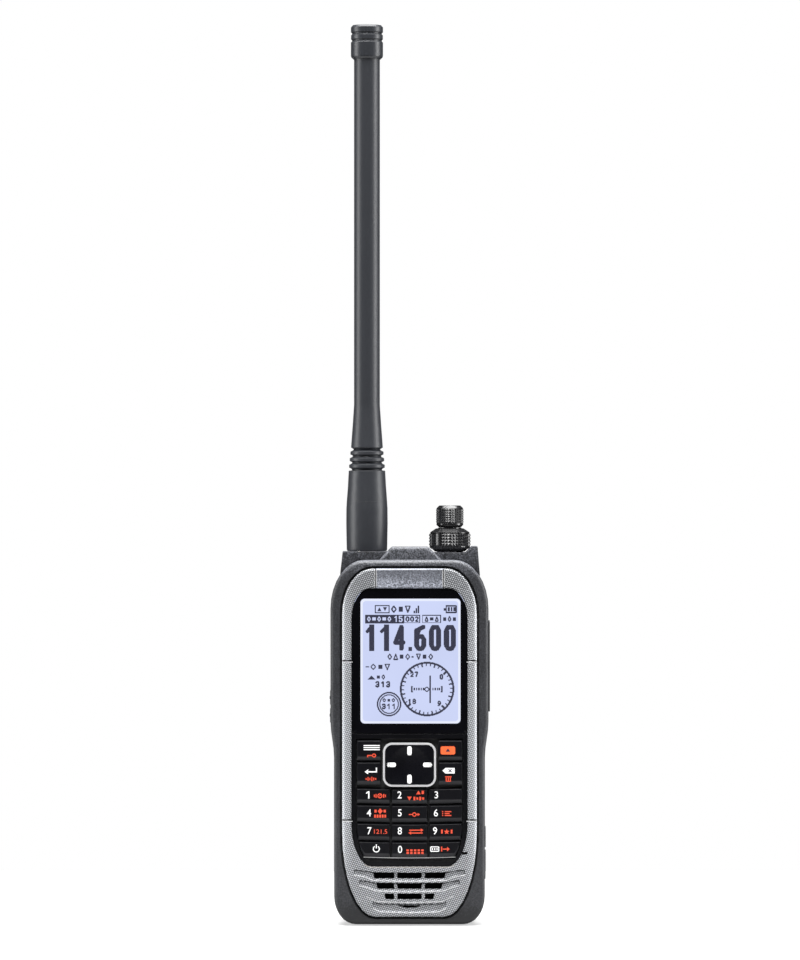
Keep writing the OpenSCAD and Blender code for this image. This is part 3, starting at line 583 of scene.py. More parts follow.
# The profiles below and above each grip are points of radius and height
knurled(
    "volume_knob_turned", "volume_control", "volume_knob",
    below=[(3.05, 148.3), (5.6, 148.3), (5.6, 145.98), (5.95, 145.98), (7.05, 147.0)],
    above=[(7.55, 153.1), (7.8, 153.25), (7.8, 153.55), (5.6, 155.0), (5.3, 155.1), (4.6, 155.15),
           (4.6, 155.42), (3.05, 155.42)],
    rows=5, cols=44, z0=147.0, pitch=1.2, depth=0.34,
    radius=lambda z: 8.3 if z > 148 else 8.3 - (148 - z) * 0.6,
    smooth=by_pointer,
)
knurled(
    "dial_knob_turned", "dial_control", "dial_knob",
    below=[(2.05, 161.8), (2.05, 155.5), (4.3, 155.5), (5.1, 156.25), (5.3, 156.45), (5.3, 157.05),
           (5.15, 157.2)],
    above=[(5.15, 162.8), (5.3, 162.95), (5.2, 163.15), (4.35, 164.0), (4.1, 164.15), (0.01, 164.15),
           (0.01, 161.8)],
    rows=6, cols=35, z0=157.25, pitch=0.92, depth=0.26,
    radius=lambda z: 5.5,
)


def pointer():
    """Raised marker on the volume knob: a rib down its side and a line across its shoulder."""
    bm = bmesh.new()
    a = math.radians(-90 - POINTER_TURN)
    out = Vector((math.cos(a), math.sin(a), 0))
    side = Vector((-out.y, out.x, 0))

    def slab(lo, hi, half, r0, r1):
        """A block that leans from radius r0 at its foot to r1 at its top."""
        vs = []
        for z, r in ((lo, r0), (hi, r1)):
            for w in (-half, half):
                for d in (-0.8, 0.0):
                    p = Vector((KNOB[0], KNOB[1], z)) + out * (r + d) + side * w
                    vs.append(bm.verts.new(p))
        for f in ((0, 1, 3, 2), (4, 6, 7, 5), (0, 4, 5, 1), (2, 3, 7, 6), (1, 5, 7, 3), (0, 2, 6, 4)):
            bm.faces.new([vs[i] for i in f])

    slab(149.4, 153.6, 0.55, 8.12, 8.12)
    slab(153.6, 155.05, 0.22, 7.95, 5.75)
    add("volume_pointer", bm, "pointer", "volume_control", 0.15)


pointer()


def moulding_line(bm):
    """The faint line around the foot of the antenna."""
    lathe(bm, [(7.4, 165.5), (8.01, 165.5), (8.01, 165.66), (7.4, 165.66)], 64, ANTENNA)


mark("antenna_seam", moulding_line, "cap", "antenna")

# ---- keys

INSET, GAP, COLUMN = 2.1, 0.55, 14.7
PAD_HALF_W, PAD_GAP = 10.4, 0.8
# Lower and upper edge of each row: two rows beside the pad, then four below it
ROWS = {"a": (64.3, 72.3), "b": (54.8, 63.7), "1": (47.7, 53.5), "2": (40.5, 47.0),
        "3": (33.3, 39.8), "4": (26.7, 32.7)}


def key_edge(z):
    """Half the width over a row's outer keys at a height, along the panel's foot."""
    s = max(0.0, PANEL_BOTTOM + PANEL_FOOT[1] - z) / (PANEL_FOOT[1] - INSET)
    return PANEL_HALF_W - PANEL_FOOT[0] + (PANEL_FOOT[0] - INSET) * math.sqrt(1 - s * s)


def sag(p):
    """The rows hang a little lower in the middle."""
    return (p[0], p[1] - 0.4 * (1 - (p[0] / PANEL_HALF_W) ** 2))


def key_outline(column, row):
    """Outline of a key below the pad. column is -1, 0 or 1."""
    z0, z1 = row
    mid, inner = (COLUMN - GAP) / 2, (COLUMN + GAP) / 2
    steps = 6
    if column == 0:
        across = [mid * (2 * i / steps - 1) for i in range(steps + 1)]
        pts = [(x, z0) for x in across] + [(x, z1) for x in reversed(across)]
    else:
        e0, e1 = key_edge(z0), key_edge(z1)
        pts = ([(key_edge(z0 + (z1 - z0) * i / 8), z0 + (z1 - z0) * i / 8) for i in range(9)]
               + [(e1 + (inner - e1) * i / steps, z1) for i in range(1, steps + 1)]
               + [(inner + (e0 - inner) * i / steps, z0) for i in range(steps)])
    if column < 0:
        pts = [(-x, z) for x, z in reversed(pts)]
    return [sag(p) for p in pts]


def side_outline(side, row):
    """Outline of a key beside the pad."""
    outer, inner = PANEL_HALF_W - INSET, PAD_HALF_W + PAD_GAP
    pts = [(inner, row[0]), (outer, row[0]), (outer, row[1]), (inner, row[1])]
    return pts if side > 0 else [(-x, z) for x, z in reversed(pts)]


def squeeze(pts, aside, bottom, top):
    """An outline drawn in by so much on both sides, at its bottom and at its top."""
    x0, x1 = min(p[0] for p in pts), max(p[0] for p in pts)
    z0, z1 = min(p[1] for p in pts), max(p[1] for p in pts)
    kx, kz = 1 - 2 * aside / (x1 - x0), 1 - (bottom + top) / (z1 - z0)
    return [(x0 + aside + (x - x0) * kx, z0 + bottom + (z - z0) * kz) for x, z in pts]


KEYS = {
    "key_menu": side_outline(-1, ROWS["a"]), "key_function": side_outline(1, ROWS["a"]),
    "key_enter": side_outline(-1, ROWS["b"]), "key_clear": side_outline(1, ROWS["b"]),
    "key_power": key_outline(-1, ROWS["4"]), "key_0": key_outline(0, ROWS["4"]),
    "key_memory": key_outline(1, ROWS["4"]),
}
for i in range(9):
    KEYS[f"key_{i + 1}"] = key_outline(i % 3 - 1, ROWS[str(i // 3 + 1)])
KEY_TOP = FACE - 1


def key_cap(node, outline):
    bm = bmesh.new()
    loft(bm, [
        (KEY_TOP, squeeze(outline, 0.25, 1.5, 0.35)),
        (FACE - 0.1, outline),
        (FACE + 0.9, outline),
    ])
    bmesh.ops.dissolve_limit(bm, angle_limit=0.01, verts=bm.verts, edges=bm.edges)
    o = add(node + "_cap", bm, "key", node + "_body", 0.18, 3)
    # The broad lower slope is given a paler satin copy of the black, as a painted highlight
    o.data.materials.append(MATERIALS["facet"])
    for p in o.data.polygons:
        if p.normal.z < -0.3 and p.normal.y < -0.3:
            p.material_index = 1
    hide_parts(node)


for node, outline in KEYS.items():
    key_cap(node, outline)

# ---- legends

# Printed marks run from just before a key's top to just inside it
INK0, INK1 = KEY_TOP - 0.02, KEY_TOP + 0.05


def numeral(name, text, cx, cz, height, material, body, bold, squash):
    """Digits laid on a key's top. cx, cz is their middle."""
    curve = bpy.data.curves.new(name, "FONT")
    curve.body = text
    curve.size = height / 0.72
    curve.offset = bold * height / 3.0
    curve.resolution_u = 4
    curve.extrude = 0.03
    tmp = bpy.data.objects.new(name + "_t", curve)
    scene.collection.objects.link(tmp)
    bpy.context.view_layer.update()
    mesh = bpy.data.meshes.new_from_object(tmp.evaluated_get(bpy.context.evaluated_depsgraph_get()))
    bpy.data.objects.remove(tmp)
    bpy.data.curves.remove(curve)
    bm = bmesh.new()
    bm.from_mesh(mesh)
    bpy.data.meshes.remove(mesh)
    xs, ys = [v.co.x for v in bm.verts], [v.co.y for v in bm.verts]
    mx, my = (min(xs) + max(xs)) / 2, (min(ys) + max(ys)) / 2
    for v in bm.verts:
        x, z, d = (v.co.x - mx) * squash, v.co.y - my, v.co.z
        v.co = (cx + x, KEY_TOP + 0.01 - d, cz + z)
    bmesh.ops.remove_doubles(bm, verts=bm.verts, dist=0.0005)
    add(name, bm, material, body)


# Digits stand left on their keys; the orange marks stand right
DIGITS = {
    "2": (-3.9, 50.9), "3": (10.5, 50.9),
    "4": (-15.9, 43.85), "5": (-3.8, 43.85), "6": (10.35, 43.85),
    "7": (-15.7, 36.8), "8": (-3.8, 36.8), "9": (10.0, 36.8), "0": (-3.7, 29.5),
}
for d, (x, z) in DIGITS.items():
    numeral(f"digit_{d}", d, x, z, 2.85, "white", f"key_{d}_body", 0.03, 0.92)


# Each icon below is drawn about a point x, z of its key


def ink(bm, x, z, w, h, turn=0.0, r=0.0):
    """A printed bar."""
    bar(bm, x, z, w, h, INK0, INK1, turn, r)


def patch(bm, x, z, points, y0=INK0, y1=INK1):
    """A flat shape whose points are measured from x, z."""
    flat(bm, [(x + dx, z + dz) for dx, dz in points], y0, y1)


def one_icon(bm, x, z):
    ink(bm, x, z, 0.55, 2.85)
    patch(bm, x, z, [(-0.25, 1.42), (-1.05, 0.85), (-1.05, 0.35), (-0.25, 0.85)])


def menu_icon(bm, x, z):
    for dz in (-0.8, 0.0, 0.8):
        ink(bm, x, z + dz, 6.4, 0.4, r=0.15)


def lock_icon(bm, x, z):
    ring(bm, x, z, 0.4, 0.8, INK0, INK1)
    ink(bm, x - 1.7, z, 2.0, 0.42)
    ink(bm, x - 2.5, z - 0.4, 0.4, 0.5)


def pill_icon(bm, x, z):
    bar(bm, x, z, 5.7, 3.2, INK0, INK1 + 0.02, r=0.7)


def pill_mark(bm, x, z):
    patch(bm, x, z, [(-0.95, -0.5), (0.0, 0.8), (0.95, -0.5)], INK0 - 0.03, INK0 + 0.02)


def enter_icon(bm, x, z):
    ink(bm, x, z, 3.6, 0.5)
    ink(bm, x + 1.95, z + 0.7, 0.5, 1.9)
    patch(bm, x, z, [(-1.3, 1.0), (-2.7, 0.0), (-1.3, -1.0)])


def wave_icon(bm, x, z):
    for i, h in enumerate((0.7, 1.5, 0.9, 1.7, 1.1, 0.7)):
        ink(bm, x + 0.75 * (i - 2), z, 0.4, h)


def clear_icon(bm, x, z):
    patch(bm, x, z, [(-3.0, 0.0), (-1.8, -1.1), (1.8, -1.1), (1.8, 1.1), (-1.8, 1.1)])


def clear_cross(bm, x, z):
    bar(bm, x, z, 1.7, 0.34, INK0 - 0.03, INK0 + 0.02, 45)
    bar(bm, x, z, 1.7, 0.34, INK0 - 0.05, INK0 + 0.02, -45)


def bin_icon(bm, x, z):
    ink(bm, x, z + 1.0, 2.6, 0.4)
    for dx in (-0.8, 0.0, 0.8):
        ink(bm, x + dx, z, 0.4, 1.4)
    ink(bm, x, z - 0.75, 2.0, 0.35)


def dial_icon(bm, x, z):
    ring(bm, x, z, 0.6, 0.98, INK0, INK1)
    ink(bm, x, z + 0.1, 0.3, 0.9, -45)
    for side in (-1, 1):
        for i in range(2):
            ink(bm, x + side * (1.5 + 0.65 * i), z, 0.4, 1.5 - 0.5 * i)


def to_from_icon(bm, x, z):
    patch(bm, x, z, [(0.7, 0.5), (1.6, 2.0), (2.5, 0.5)])
    ink(bm, x + 3.3, z + 1.25, 0.9, 1.3)
    patch(bm, x, z, [(-2.8, -0.4), (-1.9, -1.9), (-1.0, -0.4)])
    for i in range(4):
        ink(bm, x + 1.15 * i, z - 1.15, 0.75, 1.4 - 0.5 * (i % 2))


def waypoint_icon(bm, x, z):
    patch(bm, x, z, [(-1.0, 0.0), (0.0, 1.1), (1.0, 0.0), (0.0, -1.1)])
    for side in (-1, 1):
        ink(bm, x + side * 1.8, z, 0.9, 1.1)
    for i in range(-2, 3):
        ink(bm, x + i, z - 1.95, 0.7, 1.2)


def direct_icon(bm, x, z):
    ring(bm, x, z, 0.5, 0.85, INK0, INK1)
    ink(bm, x - 1.5, z, 1.3, 0.38)
    ink(bm, x + 1.1, z, 0.7, 0.38)
    patch(bm, x, z, [(1.3, 0.6), (1.3, -0.6), (2.2, 0.0)])


def list_icon(bm, x, z):
    for i, w in enumerate((2.6, 1.9, 2.6)):
        ink(bm, x + (w - 2.6) / 2, z - 0.75 * i, w, 0.4)
        ink(bm, x - 2.1, z - 0.75 * i, 0.45, 0.4)


def scan_icon(bm, x, z):
    ink(bm, x - 0.3, z + 0.55, 4.6, 0.42)
    ink(bm, x + 0.4, z - 0.55, 4.6, 0.42)
    patch(bm, x, z, [(1.9, 1.25), (1.9, -0.1), (3.0, 0.55)])
    patch(bm, x, z, [(-1.9, -1.2), (-1.9, 0.1), (-3.0, -0.55)])


def star_icon(bm, x, z):
    corners = []
    for i in range(10):
        r = 1.15 if i % 2 == 0 else 0.5
        a = math.radians(90 + 36 * i)
        corners.append((r * math.cos(a), r * math.sin(a)))
    patch(bm, x, z, corners)
    for side in (-1, 1):
        ink(bm, x + side * 1.9, z + 0.1, 0.7, 1.5)


def group_icon(bm, x, z):
    for i in range(-2, 3):
        ink(bm, x + 1.45 * i, z + 0.5, 0.95, 0.75)
        ink(bm, x + 1.45 * i, z - 0.55, 0.95, 0.75)


def power_icon(bm, x, z):
    ring(bm, x, z, 1.0, 1.36, INK0, INK1, 122, 418, 24)
    ink(bm, x, z + 1.0, 0.38, 1.6)


def memory_icon(bm, x, z):
    outer = shield(1.75, z - 1.05, z + 1.05, (0.35, 0.35), (0.35, 0.35), 0, 4, x)
    inner = shield(1.4, z - 0.7, z + 0.7, (0.15, 0.15), (0.15, 0.15), 0, 4, x)
    frame_plate(bm, outer, inner, INK0, INK1)
    for i in (-1, 0, 1):
        ink(bm, x + 0.9 * i, z, 0.4, 0.8)


def store_icon(bm, x, z):
    ink(bm, x, z, 1.9, 0.42)
    patch(bm, x, z, [(0.8, 0.9), (0.8, -0.9), (1.9, 0.0)])
    ink(bm, x - 1.3, z, 0.45, 1.9)


mark("digit_1", lambda bm: one_icon(bm, -15.95, 50.9), "white", "key_1_body")
for name, draw, x, z, key, material in (
    ("menu", menu_icon, -14.8, 69.4, "menu", "white"),
    ("lock", lock_icon, -13.9, 66.3, "menu", "orange"),
    ("function", pill_icon, 15.05, 68.3, "function", "pill"),
    ("function_mark", pill_mark, 15.05, 68.3, "function", "ink"),
    ("enter", enter_icon, -14.9, 59.9, "enter", "white"),
    ("enter_mark", wave_icon, -15.5, 57.1, "enter", "orange"),
    ("clear", clear_icon, 15.9, 60.35, "clear", "white"),
    ("clear_cross", clear_cross, 15.9, 60.35, "clear", "ink"),
    ("bin", bin_icon, 15.2, 56.95, "clear", "orange"),
    ("dial", dial_icon, -11.6, 50.5, "1", "orange"),
    ("to_from", to_from_icon, 1.9, 50.6, "2", "orange"),
    ("waypoint", waypoint_icon, -11.5, 44.5, "4", "orange"),
    ("direct", direct_icon, 1.9, 43.2, "5", "orange"),
    ("list", list_icon, 15.1, 44.3, "6", "orange"),
    ("scan", scan_icon, 2.5, 36.5, "8", "orange"),
    ("star", star_icon, 14.6, 36.4, "9", "orange"),
    ("group", group_icon, 2.2, 28.65, "0", "orange"),
    ("power", power_icon, -13.0, 29.7, "power", "white"),
    ("memory", memory_icon, 9.9, 29.65, "memory", "white"),
    ("store", store_icon, 13.9, 29.65, "memory", "orange"),
):
    mark("legend_" + name, lambda bm: draw(bm, x, z), material, f"key_{key}_body")
numeral("legend_seven", "121.5", -11.3, 36.5, 1.8, "orange", "key_7_body", 0.02, 1.05)

# ---- lines and seams of the front, with their painted shadows and highlights

BEZEL_FRONT = FACE - 1
GROOVE_FLOOR = FACE - 0.3
PLATE_SEAM, PLATE_Z, PLATE_H = 13.25, 135.7, 6.4
ARM_SEAMS = (103.4, 41.0)


def pad_bars(bm):
    """Four short bars around the pad's middle."""
    width, length, radius = 1.75, 3.5, 0.7
    y0, y1 = FACE - 1.6, FACE - 1.0
    for z in (68.2, 57.1):
        bar(bm, 0, z, width, length, y0, y1, r=radius)
    for x in (-7.05, 7.05):
        bar(bm, x, PAD_Z, length, width, y0, y1, r=radius)


def lip(bm):
    """A painted highlight on the lower lip of the bezel, under the panel."""
    outer = sorted(p for p in panel_outline(-0.36) if p[1] < 23.6)
    inner = sorted(p for p in panel_outline(-0.06) if p[1] < 23.75)
    flat(bm, outer + inner[::-1], FACE - 0.56, GROOVE_FLOOR)


def groove_line(row, drop=None):
    """Points of a grille groove's upper edge, or of its lower edge less a drop, from left to right."""
    widest = 21.7
    half = widest - 0.9 * row - 0.15 * row * row
    if drop is None:
        right = [(0, 20.4), (14.3, 20.6), (17.0, 21.1), (half, 21.6)]
    else:
        right = [(0, 17.5 - drop), (14.3, 17.9 - drop), (17.6, 19.3 - drop), (half, 20.0 - drop)]
    pts = [(x * half / widest, z - SLOT_PITCH * row) for x, z in right]
    return [(-x, z) for x, z in reversed(pts[1:])] + pts


def band(bm, line, low, high, y0, y1):
    """A strip along a line of points, from low to high beside it."""
    flat(bm, [(x, z + low) for x, z in line] + [(x, z + high) for x, z in reversed(line)], y0, y1)


def rule(bm):
    """A painted highlight: a bright line under the last row of keys, which sags a little in the middle."""
    half, foot, bow = 18.0, 26.0, 0.35
    xs = [half * i / 6 for i in range(-6, 7)]
    band(bm, [(x, foot + bow * (x / half) ** 2) for x in xs], 0.0, 0.24, FACE - 0.4, FACE - 0.2)


def groove_shadows(bm):
    """A painted shadow along the upper edge and at the ends of each groove."""
    for row in range(4):
        line = groove_line(row)
        band(bm, line, -0.34, 0.04, GROOVE_FLOOR - 0.12, GROOVE_FLOOR)
        for x, z in (line[0], line[-1]):
            bar(bm, x * (1 - 0.12 / abs(x)), z - 0.8, 0.24, 1.5, GROOVE_FLOOR - 0.12, GROOVE_FLOOR)


def painted_groove_lip_highlights(bm):
    """A painted highlight on the lower lip of each groove."""
    for row in range(4):
        band(bm, groove_line(row, 0.53), -0.2, 0.0, BEZEL_FRONT - 0.01, BEZEL_FRONT + 0.1)


def bezel_shadow(bm):
    """A painted shadow in the joint between the bright frame and the case."""
    frame_plate(bm, bezel_outline(-0.34), bezel_outline(0.1), FACE - 0.02, FACE + 0.1)


def painted_microphone_hole_shade(bm):
    """A painted shade that fills the microphone's hole."""
    bar(bm, 21.6, 28.03, 2.15, 0.95, BEZEL_FRONT - 0.05, BEZEL_FRONT + 0.5, r=0.2)


def seam_shadows(bm):
    """Painted shadows in the seams at the ends of the nameplate and across the frame's arms."""
    for side in (-1, 1):
        for z in ARM_SEAMS:
            bar(bm, side * 24.1, z, 4.2, 0.5, GROOVE_FLOOR - 0.12, GROOVE_FLOOR + 0.02)
        bar(bm, side * PLATE_SEAM, PLATE_Z, 0.36, PLATE_H, BEZEL_FRONT - 0.01, GROOVE_FLOOR)


def seam_lights(bm):
    """Painted highlights on the edges beside the nameplate's seams and under the seams of the frame's arms.
    """
    for side in (-1, 1):
        for dx in (-0.31, 0.31):
            bar(bm, side * PLATE_SEAM + dx, PLATE_Z, 0.2, PLATE_H, BEZEL_FRONT - 0.01, GROOVE_FLOOR)
        for z in ARM_SEAMS:
            bar(bm, side * 24.3, z - 0.5, 3.9, 0.3, BEZEL_FRONT - 0.01, FACE - 0.6)


for name, draw, material, body in (
    ("pad_marks", pad_bars, "white", "pad"),
    ("groove_shadows", groove_shadows, "mesh", "radio"),
    ("painted_groove_lip_highlights", painted_groove_lip_highlights, "silver_and_painted_highlight", "radio"),
    ("painted_bezel_shadow", bezel_shadow, "mesh", "radio"),
    ("painted_microphone_hole_shade", painted_microphone_hole_shade, "mesh", "radio"),
    ("painted_seam_shadows", seam_shadows, "mesh", "radio"),
    ("painted_seam_highlights", seam_lights, "silver_and_painted_highlight", "radio"),
    ("painted_panel_highlight", rule, "rule", "radio"),
    ("painted_bezel_lip_highlight", lip, "painted_edge_highlight", "radio"),
):
    mark(name, draw, material, body)

# ---- display

# The window's front and foot, and its gap to the panel's edge
LENS_Y, LENS_FOOT, LENS_GAP = FACE - 0.3, 74.9, 0.15
# Half the width, the two ends and the middle of the visible display
VIEW, VIEW_X = (19.6, 78.8, 127.7), 0.4


def view_outline(d, r):
    """The visible display, drawn inwards by d."""
    half, low, high = VIEW
    return shield(half - d, low + d, high - d, (r, r), (r, r), cx=VIEW_X)


def lens_mask():
    bm = bmesh.new()
    radii = [radius - LENS_GAP for radius in PANEL_CORNER]
    outer = shield(PANEL_HALF_W - LENS_GAP, LENS_FOOT, PANEL_TOP - LENS_GAP, radii, (0.4, 0.4))
    frame_plate(bm, outer, view_outline(0, 1.6), LENS_Y, FACE + 1.45)
    o = add("window_mask", bm, "lens", "radio", 0.12)
    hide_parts("window_lens")


def lcd_face():
    bm = bmesh.new()
    flat(bm, view_outline(0.02, 1.6), LENS_Y + 0.3, FACE + 1.4)
    add("lcd_face", bm, "lcd", "radio")
    # Its edges are a little brighter
    bm = bmesh.new()
    frame_plate(bm, view_outline(0.03, 1.7), view_outline(0.9, 1.3), LENS_Y + 0.29, LENS_Y + 0.4)
    add("lcd_border", bm, "lcd_edge", "radio")


lens_mask()
lcd_face()

# The display is a dot matrix. A shape is the box around it and a test for the dots inside it.


def seg(x0, z0, x1, z1, w):
    """A stroke with round ends."""
    def inside(x, z):
        dx, dz = x1 - x0, z1 - z0
        t = max(0.0, min(1.0, ((x - x0) * dx + (z - z0) * dz) / max(1e-9, dx * dx + dz * dz)))
        return (x - x0 - t * dx) ** 2 + (z - z0 - t * dz) ** 2 <= (w / 2) ** 2
    return (min(x0, x1) - w, min(z0, z1) - w, max(x0, x1) + w, max(z0, z1) + w), inside


def box(x0, z0, x1, z1):
    """A block between two corners."""
    return (x0, z0, x1, z1), lambda x, z: x0 <= x <= x1 and z0 <= z <= z1


def circle(cx, cz, r, w):
    """A ring of radius r and width w."""
    return (cx - r - w, cz - r - w, cx + r + w, cz + r + w), (
        lambda x, z: abs(math.hypot(x - cx, z - cz) - r) <= w / 2)


def tri(p, q, r):
    xs, zs = zip(p, q, r)

    def side(a, b, x, z):
        return (b[0] - a[0]) * (z - a[1]) - (b[1] - a[1]) * (x - a[0])

    def inside(x, z):
        s = [side(a, b, x, z) for a, b in ((p, q), (q, r), (r, p))]
        return all(v >= 0 for v in s) or all(v <= 0 for v in s)
    return (min(xs), min(zs), max(xs), max(zs)), inside


# Each figure's lines, as points in a square of one by one
FIGURES = {
    "0": [[(.25, 0), (.75, 0), (1, .18), (1, .82), (.75, 1), (.25, 1), (0, .82), (0, .18), (.25, 0)]],
    "1": [[(.6, 0), (.6, 1), (.15, .78)]],
    "2": [[(0, .8), (.25, 1), (.75, 1), (1, .8), (1, .62), (0, 0), (1, 0)]],
    "3": [[(0, .85), (.25, 1), (.75, 1), (1, .82), (1, .65), (.75, .52), (.35, .52)],
          [(.75, .52), (1, .38), (1, .18), (.75, 0), (.25, 0), (0, .15)]],
    "4": [[(.78, 0), (.78, 1), (0, .28), (1, .28)]],
    "5": [[(1, 1), (.05, 1), (0, .56), (.7, .6), (1, .42), (1, .18), (.75, 0), (.2, 0), (0, .14)]],
    "6": [[(.9, 1), (.35, .9), (0, .55), (0, .18), (.25, 0), (.75, 0), (1, .18), (1, .4), (.75, .56),
           (.25, .56), (0, .4)]],
    "7": [[(0, 1), (1, 1), (.35, 0)]],
    "8": [[(.25, 0), (.75, 0), (1, .15), (1, .38), (.75, .52), (.25, .52), (0, .38), (0, .15), (.25, 0)],
          [(.75, .52), (1, .66), (1, .85), (.75, 1), (.25, 1), (0, .85), (0, .66), (.25, .52)]],
    "9": [[(.1, 0), (.65, .1), (1, .45), (1, .82), (.75, 1), (.25, 1), (0, .82), (0, .6), (.25, .44),
           (.75, .44), (1, .6)]],
}


def line_through(points, w):
    return [seg(*p, *q, w) for p, q in zip(points, points[1:])]


def digits(text, x, z, w, h, stroke, pitch):
    """Shapes of a number whose lower left corner is at x, z."""
    out = []
    e = stroke / 2
    for figure in text:
        for line in FIGURES[figure]:
            points = [(x + e + a * (w - stroke), z + e + b * (h - stroke)) for a, b in line]
            out += line_through(points, stroke)
        x += pitch
    return out


def outline_box(x0, z0, x1, z1, w):
    return line_through([(x0, z0), (x1, z0), (x1, z1), (x0, z1), (x0, z0)], w)


def glyph(kind, x, z, w, h, s):
    """A plain shape in place of a letter: d a diamond, u and n triangles, q a block."""
    e = s / 2
    l, r, b, t, mx, mz = x + e, x + w - e, z + e, z + h - e, x + w / 2, z + h / 2
    if kind == "q":
        return [box(x + 0.12 * w, mz - 0.3 * h, x + 0.88 * w, mz + 0.3 * h)]
    corners = {
        "d": [(mx, b), (r, mz), (mx, t), (l, mz), (mx, b)],
        "u": [(l, b), (r, b), (mx, t), (l, b)],
        "n": [(l, t), (r, t), (mx, b), (l, t)],
    }[kind]
    return line_through(corners, s)


def row_of_glyphs(kinds, x, z, w, h, s, pitch):
    return [g for i, k in enumerate(kinds) for g in glyph(k, x + i * pitch, z, w, h, s)]


# Heights of the display's rows
STATUS_Z, GROUP_Z, NUMBER_Z, NAME_Z, COURSE_Z = 122.1, 118.7, 107.3, 103.7, 86.4
THIN, PLAIN, BOLD = 0.35, 0.45, 0.55


def status_row():
    """A boxed pair of arrows, three plain marks, the signal and the charge."""
    z = STATUS_Z
    shapes = outline_box(-13.4, z + 0.1, -8.0, z + 2.9, THIN)
    shapes += [tri((-12.6, z + 0.8), (-11.8, z + 2.3), (-11.0, z + 0.8))]
    shapes += [tri((-10.4, z + 2.3), (-9.6, z + 0.8), (-8.8, z + 2.3))]
    shapes += row_of_glyphs("dqn", -7.3, z, 2.3, 3.0, BOLD, 2.75)
    shapes += [box(1.7 + 0.75 * i, z, 2.2 + 0.75 * i, z + 1.0 + 0.95 * i) for i in range(3)]
    shapes += outline_box(14.4, z + 0.2, 18.3, z + 2.8, PLAIN) + [box(13.5, z + 1.0, 14.4, z + 2.0)]
    shapes += [box(15.0 + 1.15 * i, z + 0.7, 15.75 + 1.15 * i, z + 2.3) for i in range(3)]
    return shapes


def group_row():
    """A solid bar with light marks, then a boxed number and two plain tags. Returns dark and light shapes."""
    z = GROUP_Z
    dark = [box(-17.4, z - 0.6, -2.3, z + 2.7)]
    light = row_of_glyphs("dqdqd", -16.7, z, 1.6, 2.1, 0.4, 2.0)
    light += digits("15", -6.1, z - 0.1, 1.5, 2.4, PLAIN, 1.9)
    dark += outline_box(-2.1, z - 0.4, 4.0, z + 2.5, THIN) + digits("002", -1.5, z, 1.45, 2.1, 0.5, 1.8)
    dark += outline_box(5.1, z - 0.4, 12.2, z + 2.5, THIN)
    dark += row_of_glyphs("uqu", 5.9, z, 1.6, 2.1, PLAIN, 2.0)
    dark += row_of_glyphs("qdq", 13.1, z - 0.1, 1.5, 2.3, PLAIN, 1.85)
    return dark, light


def main_number():
    """The large figures, 114.600, whose upright strokes are heavier than the rest."""
    z, height, stroke = NUMBER_Z, 10.2, 2.0
    shapes = [box(-0.4, z, 0.95, z + 1.5)]
    for x0, x1 in ((-17.1, -13.9), (-11.5, -8.1)):
        shapes += [box(x1 - 1.85, z, x1, z + height), seg(x0 + 0.6, z + 7.6, x1 - 1.0, z + 9.5, 1.3)]
    for figure, x0, x1 in (("4", -6.4, -1.6), ("6", 1.8, 6.6), ("0", 7.7, 12.4), ("0", 13.5, 18.2)):
        shapes += digits(figure, x0, z, x1 - x0, height, 1.8, 0)
        if figure != "4":
            top = z + (7.9 if figure == "0" else 3.6)
            shapes += [seg(x0 + 1.0, z + 2.1, x0 + 1.0, z + 7.9, stroke)]
            shapes += [seg(x1 - 1.0, z + 2.1, x1 - 1.0, top, stroke)]
    return shapes


def name_row():
    shapes = row_of_glyphs("duqd", -8.7, NAME_Z, 1.9, 2.5, PLAIN, 2.35)
    shapes += [box(0.9, NAME_Z + 1.0, 1.5, NAME_Z + 1.6)]
    return shapes + row_of_glyphs("nqd", 2.6, NAME_Z, 1.9, 2.5, PLAIN, 2.4)


def left_column():
    """The mode's marks, the pointer with its marks, and the course."""
    shapes = [box(-17.2, 100.8, -15.9, 101.3)] + row_of_glyphs("dqn", -15.3, 99.7, 2.2, 2.6, PLAIN, 2.75)
    shapes += [tri((-16.6, 96.0), (-14.9, 97.6), (-13.2, 96.0))]
    shapes += row_of_glyphs("qd", -12.9, 96.0, 1.5, 2.1, 0.42, 1.9)
    return shapes + digits("313", -13.4, 92.9, 1.65, 2.5, 0.6, 2.1)


def course_window():
    x, z = -8.0, COURSE_Z
    shapes = [circle(x, z, 4.5, 0.6), circle(x, z, 3.6, PLAIN)]
    shapes += digits("311", x - 2.9, z - 2.0, 1.6, 2.2, BOLD, 2.0)
    return shapes + row_of_glyphs("dqd", x - 2.6, z + 0.7, 1.4, 1.7, 0.4, 1.8)


